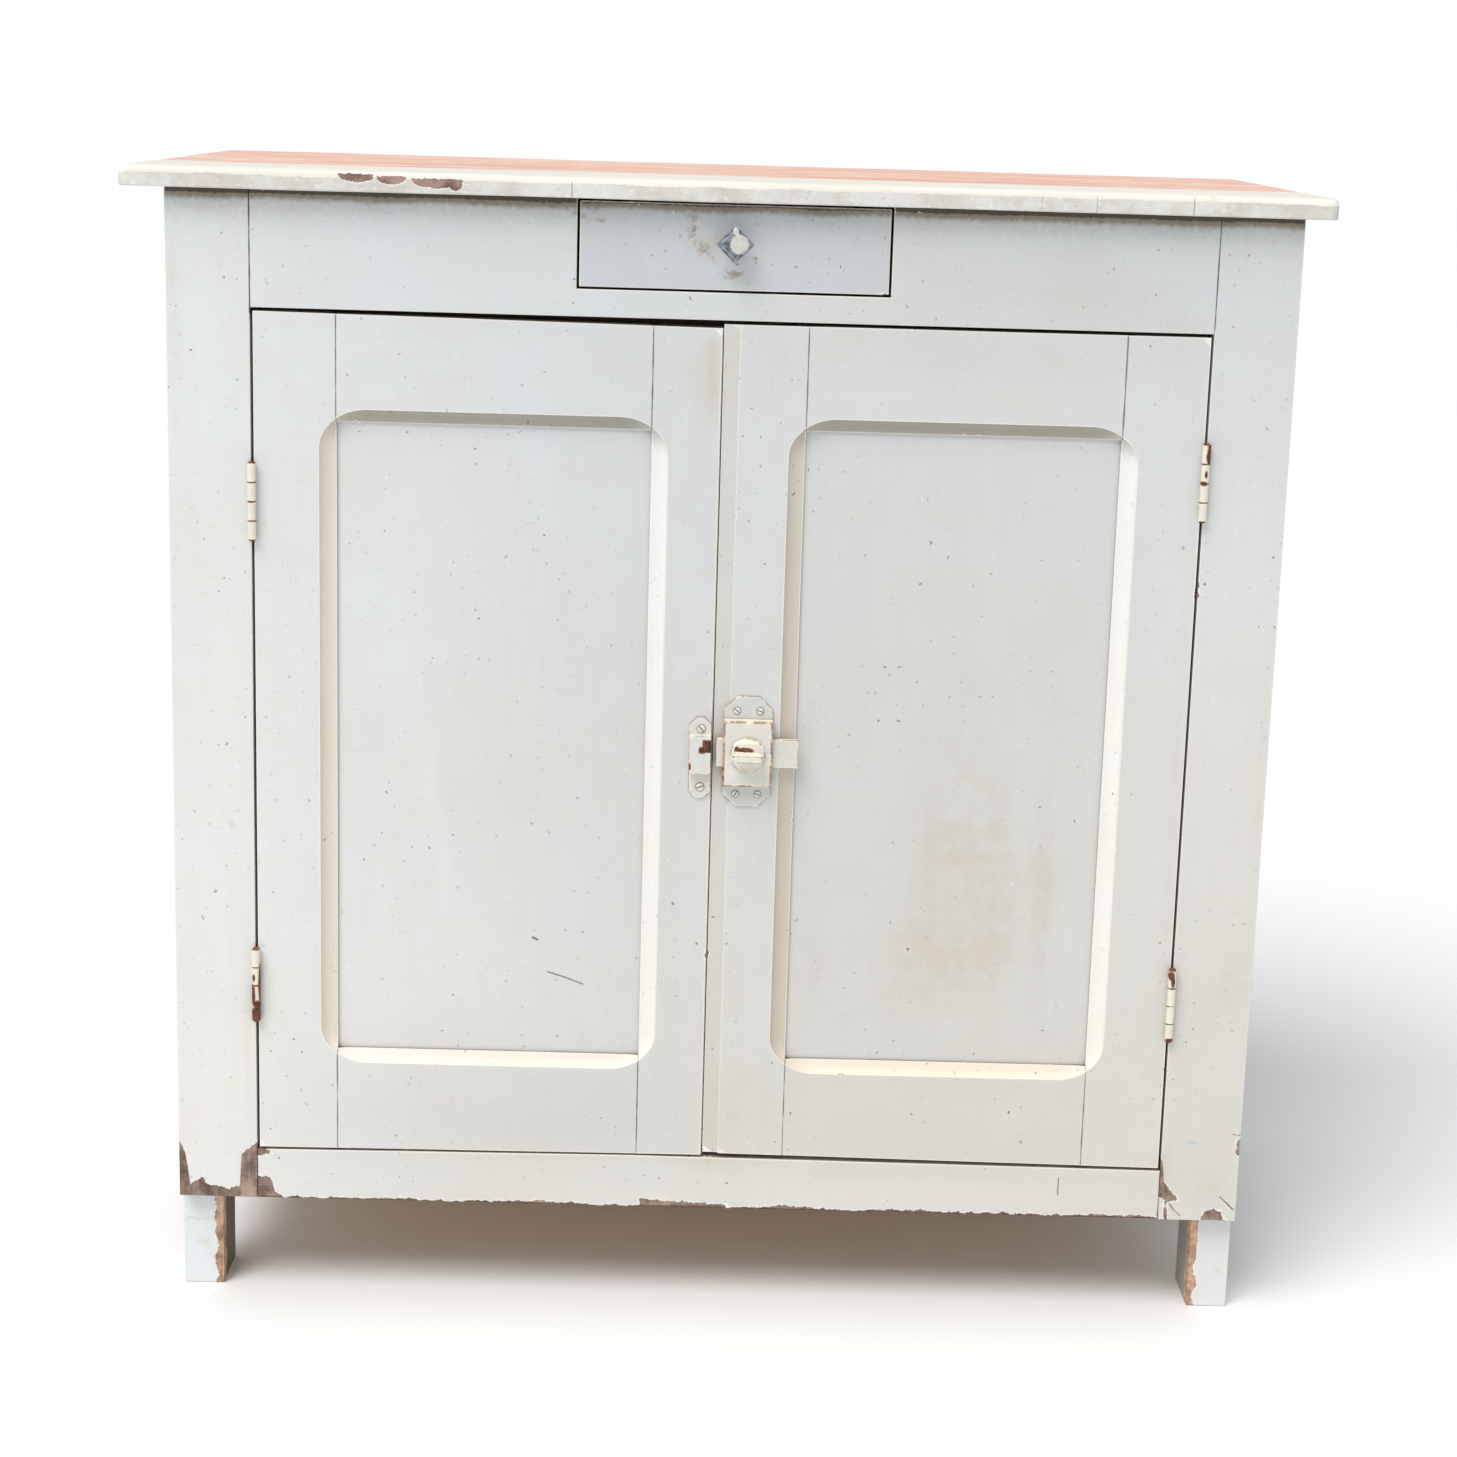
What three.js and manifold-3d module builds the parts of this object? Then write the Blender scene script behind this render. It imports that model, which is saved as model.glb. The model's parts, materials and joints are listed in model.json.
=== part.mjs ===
// A painted pine pantry cabinet: an overhanging top board, a face frame with one small drawer,
// two frame-and-panel doors on butt hinges and a turn-knob latch, on four square corner posts.
//
// Millimetres, +Z up. The front faces -Y and its outer face is drawn at y = 0, the floor at z = 0 and
// the middle of the body at x = 0. The whole cabinet is then moved so that the origin is the centre of
// its footprint box, on the floor.

import * as THREE from "three";
import { mergeVertices } from "three/addons/utils/BufferGeometryUtils.js";
import Module from "manifold-3d";

// ---------------------------------------------------------------- driving dimensions

// Body
const bodyWidth = 1040;
const bodyDepth = 476; // front face to the rear face of the back boards
const bodyHeight = 1080; // floor to the underside of the top board
const legHeight = 100; // floor to the underside of the face frame

// Top board
const topThickness = 20;
const topOverhangLeft = 39;
const topOverhangRight = 27;
const topOverhangFront = 19;
const topOverhangBack = 5;
const topCornerRadius = 10; // in plan, at the two front corners
const topArrisRadius = 6; // rounded upper arris

// Face frame
const frameThickness = 18;
const faceStileWidth = 77;
const apronHeight = 107.5;
const bottomRailHeight = 51;
const bottomRailCrown = 3; // the rail's upper edge rises this much in the middle

// Corner posts, side frames and back
const postWidth = 40;
const frontPostDepth = 62;
const rearPostDepth = 40;
const sideRailThickness = 20;
const upperSideRailHeight = 100;
const lowerSideRailHeight = 90;
const sidePanelThickness = 8;
const sidePanelRecess = 6;
const backRailThickness = 20;
const upperBackRailHeight = 100;
const lowerBackRailHeight = 70;
const backBoardThickness = 12;
const backBoardCount = 3;
const backBoardJoint = 1; // open joint between neighbouring back boards

// Inside
const floorThickness = 18;
const floorRise = 8; // the floor stands this far above the bottom rail and stops the doors
const doorStopClearance = 1.5; // behind a closed door
const shelfThickness = 18;
const shelfRise = 386; // floor board to the underside of the shelf
const shelfFront = 84; // from the front face
const cleatSize = 20;
const boardClearance = 0.5; // around the floor and the shelf
const bearerHeight = 17.5;
const bearerDepth = 42;
const bearerStopDrop = 17.5; // the bearer's lip that stops the doors hangs this far below the apron

// Drawer
const drawerWidth = 284;
const drawerFrontHeight = 78;
const drawerLift = 27.5; // the drawer front's lower edge above the apron's
const drawerGap = 2; // around the drawer front
const drawerDepth = 380;
const drawerSideThickness = 10;
const drawerSideHeight = 68;
const drawerBottomThickness = 6;
const drawerBottomLift = 6;
const drawerRunClearance = 1;
const drawerSideLift = 0.25; // keeps the sides off the runners
const runnerWidth = 26;
const runnerThickness = 14;
const runnerGuideHeight = 18;
const drawerStopThickness = 16;

// Drawer knob: a square block turned on its corner
const knobSide = 25;
const knobRise = 4; // above the middle of the drawer front
const knobHeadThickness = 9;
const knobBevel = 3;
const knobNeckRadius = 6;
const knobNeckLength = 12;
const knobStemRadius = 2.5;
const knobStemClearance = 0.4;
const knobNutRadius = 6;
const knobNutThickness = 4;

// Doors
const doorThickness = 22;
const doorSideGap = 2.5;
const meetingX = -8.25; // middle of the gap between the doors
const meetingGap = 2.5;
const panelThickness = 8;
const panelRecess = 9.5;
const panelClearance = 0.25;
const grooveDepth = 10;
const tongueClearance = 1; // a tongue stops this far short of its groove's bottom
const doorBottomRail = 105; // bottom rail of the frame to the panel's visible lower edge
const mouldStileWidth = 15.5;
const mouldRailWidth = 12.5;
const mouldCornerRadius = 41;
const mouldDepth = 7;
const stripWidth = 14; // sunk strip along the right door's leading edge
const stripDepth = 2.5;
const leftDoor = {
  name: "left_door",
  hingeStile: 76,
  lockStile: 63,
  topRail: 104, // apron to the panel's visible upper edge
  topGapHinge: 3,
  topGapLock: 7, // the door has dropped a little at its free side
  bottomGapHinge: 2.75,
  bottomGapLock: 2.25,
};
const rightDoor = {
  name: "right_door",
  hingeStile: 76.5,
  lockStile: 77.5,
  topRail: 101,
  topGapHinge: 3,
  topGapLock: 3.25,
  bottomGapHinge: 3,
  bottomGapLock: 4.5,
};

// Hinges: four knuckles standing proud of the face
const hingeHeight = 72;
const knuckleCount = 4;
const knuckleGap = 0.4;
const knuckleRadius = 4.25;
const hingePinRadius = 1.75;
const hingeBoreClearance = 0.4;
const hingePinHeadRadius = 3.25;
const hingePinHeadHeight = 1.5;
const hingePinHeadTipRadius = 2.3;
const leafThickness = 1.5;
const leafInset = 0.75; // each leaf is let into the wood by this much
const leafDepth = 20;
const leafClearance = 0.25;
const faceClearance = 0.25; // knuckles to the wood behind them
const upperHingeDrop = { left: 179, right: 137.5 }; // apron to the hinge's middle
const lowerHingeRise = { left: 171, right: 173 }; // bottom rail to the hinge's middle

// Latch on the right door, and its keeper on the left door
const latchInset = 32; // free edge of the right door to the spindle
const latchRise = 3.75; // middle of the door opening to the spindle
const latchPlateWidth = 47;
const latchPlateHeight = 108.5;
const latchPlateCorner = 13;
const latchPlateThickness = 1.75;
const caseWidth = 47;
const caseHeight = 64.5;
const caseDepth = 11;
const caseWall = 2;
const caseBevel = 1.5;
const boltHeight = 28;
const boltThickness = 5;
const boltLeft = -30; // bolt ends, from the spindle, with the bolt withdrawn
const boltRight = 48;
const boltClearance = 0.5;
const boltTravel = 19;
const turnAngle = Math.PI / 2;
const spindleRadius = 3.5;
const spindleClearance = 0.75;
const camPinRadius = 2;
const camPinClearance = 0.6;
const camThickness = 2.25;
const camWidth = 8;
const discRadius = 17;
const discHeight = 6;
const discEdge = 1; // upright edge of the disc under its dome
const gripWidth = 32;
const gripHeight = 6.5;
const gripReach = 13;
const gripRootWidth = 18;
const gripTipWidth = 27;
const gripShoulder = 5;
const gripSink = 2; // into the dome
const keeperWidth = 21;
const keeperHeight = 80;
const keeperDrop = 7; // the keeper plate's centre below the spindle
const keeperBoxDrop = 2.5;
const keeperPlay = 3; // above and below the bolt inside the keeper
const keeperCorner = 7;
const keeperWall = 1.75;

// Cutters run this far past the solid they cut, and joined solids this far into each other
const margin = 1;

// Facets
const roundSegments = 24;
const cornerSegments = 8;
const mouldSegments = 5;
const arrisSegments = 4;
const crownSegments = 12;
const domeSegments = 6;

// ---------------------------------------------------------------- derived dimensions

const halfBody = bodyWidth / 2;
const opening = halfBody - faceStileWidth; // half the width of the door opening
const apronBottom = bodyHeight - apronHeight;
const bottomRailTop = legHeight + bottomRailHeight;
const backRailRear = bodyDepth - backBoardThickness;
const frontPostRear = frameThickness + frontPostDepth;
const rearPostFront = backRailRear - rearPostDepth;
const postInner = halfBody - postWidth;
const sideInner = halfBody - sideRailThickness;
const tongueDepth = grooveDepth - tongueClearance;
const floorTop = bottomRailTop + floorRise;
const shelfHeight = floorTop + shelfRise;
const floorFront = doorThickness + doorStopClearance;
const drawerBottom = apronBottom + drawerLift;
const drawerTop = drawerBottom + drawerFrontHeight;
const bearerTop = apronBottom + bearerHeight;
const knobZ = (drawerBottom + drawerTop) / 2 + knobRise;
const doorEdge = opening - doorSideGap;
const hingeAxisX = opening - doorSideGap / 2;
const hingeAxisY = -(knuckleRadius + faceClearance);
const hingeCentres = {
  left: [apronBottom - upperHingeDrop.left, bottomRailTop + lowerHingeRise.left],
  right: [apronBottom - upperHingeDrop.right, bottomRailTop + lowerHingeRise.right],
};
const sightBottom = bottomRailTop + doorBottomRail;
const latchX = meetingX + meetingGap / 2 + latchInset;
const latchZ = (apronBottom + bottomRailTop) / 2 + latchRise;
const camRadius = boltTravel / (2 * Math.sin(turnAngle / 2));
const boltBack = -(latchPlateThickness + boltClearance);
const boltFront = boltBack - boltThickness;
const camBack = boltFront - boltClearance;
const camFront = camBack - camThickness;
const caseFront = -(latchPlateThickness + caseDepth);

// ---------------------------------------------------------------- materials

const colours = {
  paint: { color: 0xd9d8d2, roughness: 0.5 },
  topPaint: { color: 0xe9a893, roughness: 0.65 },
  bareWood: { color: 0xb98f62, roughness: 0.75 },
  agedWood: { color: 0x8d6e50, roughness: 0.8 },
  paintedMetal: { color: 0xd6d2c6, roughness: 0.5, metalness: 0.2 },
  steel: { color: 0x7d7670, roughness: 0.45, metalness: 0.8 },
  rustySteel: { color: 0x7a5545, roughness: 0.7, metalness: 0.5 },
  zinc: { color: 0x8b919a, roughness: 0.4, metalness: 0.8 },
};

function finish(kind) {
  return new THREE.MeshStandardMaterial({ metalness: 0, ...colours[kind] });
}

// ---------------------------------------------------------------- solids

const wasm = await Module();
wasm.setup();

// A closed three.js geometry as a manifold-3d solid.
function solidOf(geometry) {
  const bare = geometry.clone();
  bare.deleteAttribute("normal");
  bare.deleteAttribute("uv");
  const merged = mergeVertices(bare, 1e-4);
  return new wasm.Manifold(
    new wasm.Mesh({
      numProp: 3,
      vertProperties: new Float32Array(merged.attributes.position.array),
      triVerts: new Uint32Array(merged.index.array),
    }),
  );
}

// A manifold-3d solid as a three.js geometry with flat faces.
function geometryOf(solid) {
  const { vertProperties, triVerts } = solid.getMesh();
  const geometry = new THREE.BufferGeometry();
  geometry.setAttribute("position", new THREE.BufferAttribute(vertProperties, 3));
  geometry.setIndex(new THREE.BufferAttribute(triVerts, 1));
  const flat = geometry.toNonIndexed();
  flat.computeVertexNormals();
  return flat;
}

function cut(geometry, cutters) {
  return geometryOf(cutters.reduce((solid, cutter) => solid.subtract(solidOf(cutter)), solidOf(geometry)));
}

function join(geometries) {
  return geometryOf(geometries.map(solidOf).reduce((whole, piece) => whole.add(piece)));
}

function block([x0, x1], [y0, y1], [z0, z1]) {
  const box = new THREE.BoxGeometry(x1 - x0, y1 - y0, z1 - z0);
  return box.translate((x0 + x1) / 2, (y0 + y1) / 2, (z0 + z1) / 2);
}

function shapeOf(points) {
  return new THREE.Shape(points.map(([u, v]) => new THREE.Vector2(u, v)));
}

// An outline drawn in the front view (x, z), extruded along Y between y0 and y1.
function frontExtrusion(shape, [y0, y1], options = {}) {
  const settings = { depth: y1 - y0, bevelEnabled: false, curveSegments: cornerSegments, ...options };
  return new THREE.ExtrudeGeometry(shape, settings).rotateX(Math.PI / 2).translate(0, y1, 0);
}

// An outline drawn in the side view (y, z), extruded along X between x0 and x1.
function sideExtrusion(shape, [x0, x1]) {
  const turn = new THREE.Matrix4().makeBasis(
    new THREE.Vector3(0, 1, 0),
    new THREE.Vector3(0, 0, 1),
    new THREE.Vector3(1, 0, 0),
  );
  const settings = { depth: x1 - x0, bevelEnabled: false };
  return new THREE.ExtrudeGeometry(shape, settings).applyMatrix4(turn).translate(x0, 0, 0);
}

// A plan outline (x, y), extruded along Z between z0 and z1.
function planExtrusion(shape, [z0, z1], options = {}) {
  const settings = { depth: z1 - z0, bevelEnabled: false, curveSegments: cornerSegments, ...options };
  return new THREE.ExtrudeGeometry(shape, settings).translate(0, 0, z0);
}

// A round bar along Y at (x, z), between y0 and y1.
function barAlongY(radius, x, z, [y0, y1]) {
  return new THREE.CylinderGeometry(radius, radius, y1 - y0, roundSegments).translate(x, (y0 + y1) / 2, z);
}

// A round bar along Z at the origin, between z0 and z1.
function barAlongZ(radius, [z0, z1]) {
  const bar = new THREE.CylinderGeometry(radius, radius, z1 - z0, roundSegments);
  return bar.rotateX(Math.PI / 2).translate(0, 0, (z0 + z1) / 2);
}

function rectangle([x0, x1], [z0, z1]) {
  return shapeOf([[x0, z0], [x1, z0], [x1, z1], [x0, z1]]);
}

function roundedRectangle([x0, x1], [z0, z1], radius) {
  const shape = new THREE.Shape();
  shape.moveTo(x0 + radius, z0);
  shape.lineTo(x1 - radius, z0);
  shape.absarc(x1 - radius, z0 + radius, radius, -Math.PI / 2, 0);
  shape.lineTo(x1, z1 - radius);
  shape.absarc(x1 - radius, z1 - radius, radius, 0, Math.PI / 2);
  shape.lineTo(x0 + radius, z1);
  shape.absarc(x0 + radius, z1 - radius, radius, Math.PI / 2, Math.PI);
  shape.lineTo(x0, z0 + radius);
  shape.absarc(x0 + radius, z0 + radius, radius, Math.PI, 1.5 * Math.PI);
  return shape;
}

// A plate centred on the origin in the front view, with its four corners cut off at 45 degrees.
function clippedPlate(width, height, corner) {
  const w = width / 2;
  const h = height / 2;
  return shapeOf([
    [-w, -h + corner], [-w + corner, -h], [w - corner, -h], [w, -h + corner],
    [w, h - corner], [w - corner, h], [-w + corner, h], [-w, h - corner],
  ]);
}

function part(name, geometry, kind) {
  const mesh = new THREE.Mesh(geometry, finish(kind));
  mesh.name = name;
  return mesh;
}

// The interval [a, b] on the right side (side = 1), or its mirror image on the left side (side = -1).
function mirrored(side, [a, b]) {
  return side > 0 ? [a, b] : [-b, -a];
}

const sides = [
  { word: "left", side: -1 },
  { word: "right", side: 1 },
];

// ---------------------------------------------------------------- case

function topBoard() {
  const left = -halfBody - topOverhangLeft + topArrisRadius;
  const right = halfBody + topOverhangRight - topArrisRadius;
  const front = -topOverhangFront + topArrisRadius;
  const back = bodyDepth + topOverhangBack - topArrisRadius;
  const corner = topCornerRadius - topArrisRadius;
  const outline = new THREE.Shape();
  outline.moveTo(left + corner, front);
  outline.lineTo(right - corner, front);
  outline.absarc(right - corner, front + corner, corner, -Math.PI / 2, 0);
  outline.lineTo(right, back);
  outline.lineTo(left, back);
  outline.lineTo(left, front + corner);
  outline.absarc(left + corner, front + corner, corner, Math.PI, 1.5 * Math.PI);
  // The rounding runs round both faces, so the board is drawn deeper and its lower half cut away flat.
  const heights = [bodyHeight - topThickness, bodyHeight + topThickness - topArrisRadius];
  const rounded = planExtrusion(outline, heights, {
    bevelEnabled: true,
    bevelSize: topArrisRadius,
    bevelThickness: topArrisRadius,
    bevelSegments: arrisSegments,
  });
  const reach = bodyWidth + bodyDepth;
  const below = block([-reach, reach], [-reach, reach], [bodyHeight - 3 * topThickness, bodyHeight]);
  return part("top_board", cut(rounded, [below]), "topPaint");
}

// The shallow recess that lets one leaf of a hinge into an upright edge at x. intoWood is the side of
// that edge that the wood is on.
function leafRecess(edgeX, intoWood, centreZ) {
  const bottom = edgeX + intoWood * (leafInset + leafClearance);
  const mouth = edgeX - intoWood * margin;
  const half = hingeHeight / 2 + leafClearance;
  return block(
    [Math.min(bottom, mouth), Math.max(bottom, mouth)],
    [-margin, leafDepth + leafClearance],
    [centreZ - half, centreZ + half],
  );
}

function faceStile({ word, side }) {
  const board = block(mirrored(side, [opening, halfBody]), [0, frameThickness], [legHeight, bodyHeight]);
  const recesses = hingeCentres[word].map((z) => leafRecess(side * opening, side, z));
  return part(`face_stile_${word}`, cut(board, recesses), "paint");
}

function apronRail() {
  const notch = drawerWidth / 2 + drawerGap;
  const notchBottom = drawerBottom - drawerGap;
  const outline = shapeOf([
    [-opening, apronBottom], [opening, apronBottom], [opening, bodyHeight], [notch, bodyHeight],
    [notch, notchBottom], [-notch, notchBottom], [-notch, bodyHeight], [-opening, bodyHeight],
  ]);
  return part("apron_rail", frontExtrusion(outline, [0, frameThickness]), "paint");
}

// Height of the bottom rail's upper edge at x: a shallow arch.
function bottomRailEdge(x) {
  return bottomRailTop + bottomRailCrown * (1 - (x / opening) ** 2);
}

function bottomRail() {
  const upper = Array.from({ length: crownSegments + 1 }, (_, i) => {
    const x = opening - (2 * opening * i) / crownSegments;
    return [x, bottomRailEdge(x)];
  });
  const outline = shapeOf([[-opening, legHeight], [opening, legHeight], ...upper]);
  return part("bottom_rail", frontExtrusion(outline, [0, frameThickness]), "paint");
}

const sidePanelFaces = [halfBody - sidePanelRecess - sidePanelThickness, halfBody - sidePanelRecess];
const sidePanelBottom = legHeight + lowerSideRailHeight;
const sidePanelTop = bodyHeight - upperSideRailHeight;

// The grooves that hold a side panel, as one block bigger than the panel's opening all round.
function sideGroove(side) {
  const [inner, outer] = sidePanelFaces;
  return block(
    mirrored(side, [inner - panelClearance, outer + panelClearance]),
    [frontPostRear - grooveDepth, rearPostFront + grooveDepth],
    [sidePanelBottom - grooveDepth, sidePanelTop + grooveDepth],
  );
}

// The housing in a side rail that holds the floor's end.
function floorHousing(side) {
  return block(
    mirrored(side, [sideInner - margin, sideInner + grooveDepth]),
    [frontPostRear - margin, rearPostFront + margin],
    [floorTop - floorThickness - panelClearance, floorTop + panelClearance],
  );
}

function sideFrame({ word, side }) {
  const across = mirrored(side, [sideInner, halfBody]);
  const postAcross = mirrored(side, [postInner, halfBody]);
  const along = [frontPostRear, rearPostFront];
  const groove = sideGroove(side);
  const frontPost = block(postAcross, [frameThickness, frontPostRear], [0, bodyHeight]);
  const rearPost = block(postAcross, [rearPostFront, backRailRear], [0, bodyHeight]);
  const upperRail = block(across, along, [sidePanelTop, bodyHeight]);
  const lowerRail = block(across, along, [legHeight, sidePanelBottom]);
  const panel = block(
    mirrored(side, sidePanelFaces),
    [frontPostRear - tongueDepth, rearPostFront + tongueDepth],
    [sidePanelBottom - tongueDepth, sidePanelTop + tongueDepth],
  );
  return [
    part(`front_post_${word}`, cut(frontPost, [groove]), "paint"),
    part(`rear_post_${word}`, cut(rearPost, [groove]), "paint"),
    part(`side_rail_upper_${word}`, cut(upperRail, [groove]), "paint"),
    part(`side_rail_lower_${word}`, cut(lowerRail, [groove, floorHousing(side)]), "paint"),
    part(`side_panel_${word}`, panel, "paint"),
  ];
}

function backRail(name, heights) {
  const depths = [backRailRear - backRailThickness, backRailRear];
  return part(name, block([-postInner, postInner], depths, heights), "agedWood");
}

function backBoards() {
  const pitch = bodyWidth / backBoardCount;
  return Array.from({ length: backBoardCount }, (_, i) => {
    const x0 = -halfBody + i * pitch + (i > 0 ? backBoardJoint / 2 : 0);
    const x1 = -halfBody + (i + 1) * pitch - (i < backBoardCount - 1 ? backBoardJoint / 2 : 0);
    const board = block([x0, x1], [backRailRear, bodyDepth], [legHeight, bodyHeight]);
    return part(`back_board_${i + 1}`, board, "agedWood");
  });
}

// A board that fills the inside of the case from front to back, notched round the posts it meets.
function notchedBoard(front, halfWidth, z0, thickness) {
  const back = backRailRear - backRailThickness - boardClearance;
  const narrow = postInner - boardClearance;
  const frontNotch = frontPostRear + boardClearance;
  const rearNotch = rearPostFront - boardClearance;
  const rightHalf =
    front < frontPostRear
      ? [[narrow, front], [narrow, frontNotch], [halfWidth, frontNotch]]
      : [[halfWidth, front]];
  const right = [...rightHalf, [halfWidth, rearNotch], [narrow, rearNotch], [narrow, back]];
  const left = right.map(([x, y]) => [-x, y]).reverse();
  return planExtrusion(shapeOf([...right, ...left]), [z0, z0 + thickness]);
}

function floorBoard() {
  const intoHousing = sideInner + tongueDepth;
  const board = notchedBoard(floorFront, intoHousing, floorTop - floorThickness, floorThickness);
  return part("floor_board", board, "bareWood");
}

function shelf() {
  const board = notchedBoard(shelfFront, sideInner - boardClearance, shelfHeight, shelfThickness);
  return part("shelf", board, "bareWood");
}

function shelfCleat({ word, side }) {
  const across = mirrored(side, [sideInner - cleatSize, sideInner]);
  const strip = block(across, [shelfFront, rearPostFront], [shelfHeight - cleatSize, shelfHeight]);
  return part(`shelf_cleat_${word}`, strip, "bareWood");
}

// The cross rail behind the apron: it carries the drawer runners, and its lip stops the doors.
function drawerBearer() {
  const front = frameThickness;
  const rear = front + bearerDepth;
  const lipFront = doorThickness + doorStopClearance;
  const lipBottom = apronBottom - bearerStopDrop;
  const section = shapeOf([
    [front, apronBottom], [lipFront, apronBottom], [lipFront, lipBottom],
    [rear, lipBottom], [rear, bearerTop], [front, bearerTop],
  ]);
  return part("drawer_bearer", sideExtrusion(section, [-postInner, postInner]), "bareWood");
}

// A drawer runner: a ledge under the drawer's side, a guide beside it and a stop behind it.
function drawerRunner({ word, side }) {
  const half = drawerWidth / 2;
  const ledgeTop = drawerBottom;
  const ledgeBottom = ledgeTop - runnerThickness;
  const outer = half + drawerRunClearance;
  const span = [frameThickness + bearerDepth, backRailRear - backRailThickness];
  const fullWidth = mirrored(side, [outer - runnerWidth, outer + drawerSideThickness]);
  const guideWidth = mirrored(side, [outer, outer + drawerSideThickness]);
  const guideHeights = [ledgeBottom, ledgeTop + runnerGuideHeight];
  const stopFront = drawerDepth + drawerRunClearance;
  const ledge = block(fullWidth, span, [ledgeBottom, ledgeTop]);
  const guide = block(guideWidth, span, guideHeights);
  const stop = block(fullWidth, [stopFront, stopFront + drawerStopThickness], guideHeights);
  return part(`drawer_runner_${word}`, join([ledge, guide, stop]), "bareWood");
}

function caseParts() {
  const group = new THREE.Group();
  group.add(
    topBoard(),
    ...sides.map(faceStile),
    apronRail(),
    bottomRail(),
    ...sides.flatMap(sideFrame),
    backRail("back_rail_upper", [bodyHeight - upperBackRailHeight, bodyHeight]),
    backRail("back_rail_lower", [legHeight, legHeight + lowerBackRailHeight]),
    ...backBoards(),
    floorBoard(),
    shelf(),
    ...sides.map(shelfCleat),
    drawerBearer(),
    ...sides.map(drawerRunner),
  );
  return group;
}

// ---------------------------------------------------------------- drawer

function drawerBox() {
  const half = drawerWidth / 2;
  const sideInnerX = half - drawerSideThickness;
  const slotDepth = drawerSideThickness / 2;
  const bottomUnder = drawerBottom + drawerBottomLift;
  const bottomLevel = [bottomUnder, bottomUnder + drawerBottomThickness];
  const bottomGroove = block(
    [-sideInnerX - slotDepth, sideInnerX + slotDepth],
    [frameThickness - slotDepth, drawerDepth],
    [bottomLevel[0] - panelClearance, bottomLevel[1] + panelClearance],
  );
  const sideHeights = [drawerBottom + drawerSideLift, drawerBottom + drawerSideHeight];
  const front = block([-half, half], [0, frameThickness], [drawerBottom, drawerTop]);
  const holeRadius = knobStemRadius + knobStemClearance;
  const stemHole = barAlongY(holeRadius, 0, knobZ, [-margin, frameThickness + margin]);
  const drawerSides = sides.map(({ word, side }) => {
    const board = block(mirrored(side, [sideInnerX, half]), [frameThickness, drawerDepth], sideHeights);
    return part(`drawer_side_${word}`, cut(board, [bottomGroove]), "bareWood");
  });
  const back = block(
    [-sideInnerX, sideInnerX],
    [drawerDepth - drawerSideThickness, drawerDepth],
    [bottomLevel[1] + panelClearance, drawerBottom + drawerSideHeight],
  );
  const floor = block(
    [-sideInnerX - slotDepth + tongueClearance, sideInnerX + slotDepth - tongueClearance],
    [frameThickness - slotDepth + tongueClearance, drawerDepth - tongueClearance],
    bottomLevel,
  );
  return [
    part("drawer_front", cut(front, [bottomGroove, stemHole]), "paint"),
    ...drawerSides,
    part("drawer_back", back, "bareWood"),
    part("drawer_bottom", floor, "bareWood"),
  ];
}

// The knob: a bevelled square head on its corner, a round neck, and a stem held by a nut inside.
function drawerKnob() {
  const half = knobSide / 2 - knobBevel;
  const headFront = -(knobNeckLength + knobHeadThickness);
  const head = frontExtrusion(
    rectangle([-half, half], [-half, half]),
    [headFront + knobBevel, -knobNeckLength - knobBevel],
    { bevelEnabled: true, bevelSize: knobBevel, bevelThickness: knobBevel, bevelSegments: 1 },
  ).rotateY(Math.PI / 4);
  const inside = frameThickness + knobNutThickness;
  const neck = barAlongY(knobNeckRadius, 0, 0, [-knobNeckLength - margin, 0]);
  const stem = barAlongY(knobStemRadius, 0, 0, [-knobNeckLength, inside + margin]);
  const nut = barAlongY(knobNutRadius, 0, 0, [frameThickness, inside]);
  const knob = part("drawer_knob", join([head, neck, stem, nut]), "zinc");
  knob.position.set(0, 0, knobZ);
  return knob;
}

function drawer() {
  const group = new THREE.Group();
  group.add(...drawerBox(), drawerKnob());
  return group;
}

// ---------------------------------------------------------------- doors

// The scooped moulding round a door's panel, as the solid that a cutter would sweep away. Its outline
// is round at the corners, while the panel's opening is square, so the scoop fades out at each joint.
function mouldCutter([x0, x1], [z0, z1]) {
  const mean = (mouldStileWidth + mouldRailWidth) / 2;
  const stretchX = mouldStileWidth / mean;
  const stretchZ = mouldRailWidth / mean;
  const halfX = (x1 - x0) / 2 / stretchX;
  const halfZ = (z1 - z0) / 2 / stretchZ;
  const inFront = 4;
  const outline = roundedRectangle([-halfX, halfX], [-halfZ, halfZ], mouldCornerRadius - mean);
  return frontExtrusion(outline, [-inFront, 0], {
    bevelEnabled: true,
    bevelSize: mean,
    bevelThickness: mouldDepth,
    bevelSegments: mouldSegments,
  })
    .scale(stretchX, 1, stretchZ)
    .translate((x0 + x1) / 2, 0, (z0 + z1) / 2);
}

function doorSizes(word, side, door) {
  const hingeEdge = side * doorEdge;
  const lockEdge = meetingX + (side * meetingGap) / 2;
  const hingeTop = apronBottom - door.topGapHinge;
  const lockTop = apronBottom - door.topGapLock;
  const hingeBottom = bottomRailEdge(hingeEdge) + door.bottomGapHinge;
  const lockBottom = bottomRailEdge(lockEdge) + door.bottomGapLock;
  const share = (x) => (x - hingeEdge) / (lockEdge - hingeEdge);
  const hingeInner = hingeEdge - side * door.hingeStile;
  const lockInner = lockEdge + side * door.lockStile;
  return {
    hingeEdge,
    lockEdge,
    hingeInner,
    lockInner,
    sight: hingeInner < lockInner ? [hingeInner, lockInner] : [lockInner, hingeInner],
    topAt: (x) => hingeTop + (lockTop - hingeTop) * share(x),
    bottomAt: (x) => hingeBottom + (lockBottom - hingeBottom) * share(x),
    recesses: hingeCentres[word].map((z) => leafRecess(hingeEdge, -side, z)),
  };
}

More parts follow.
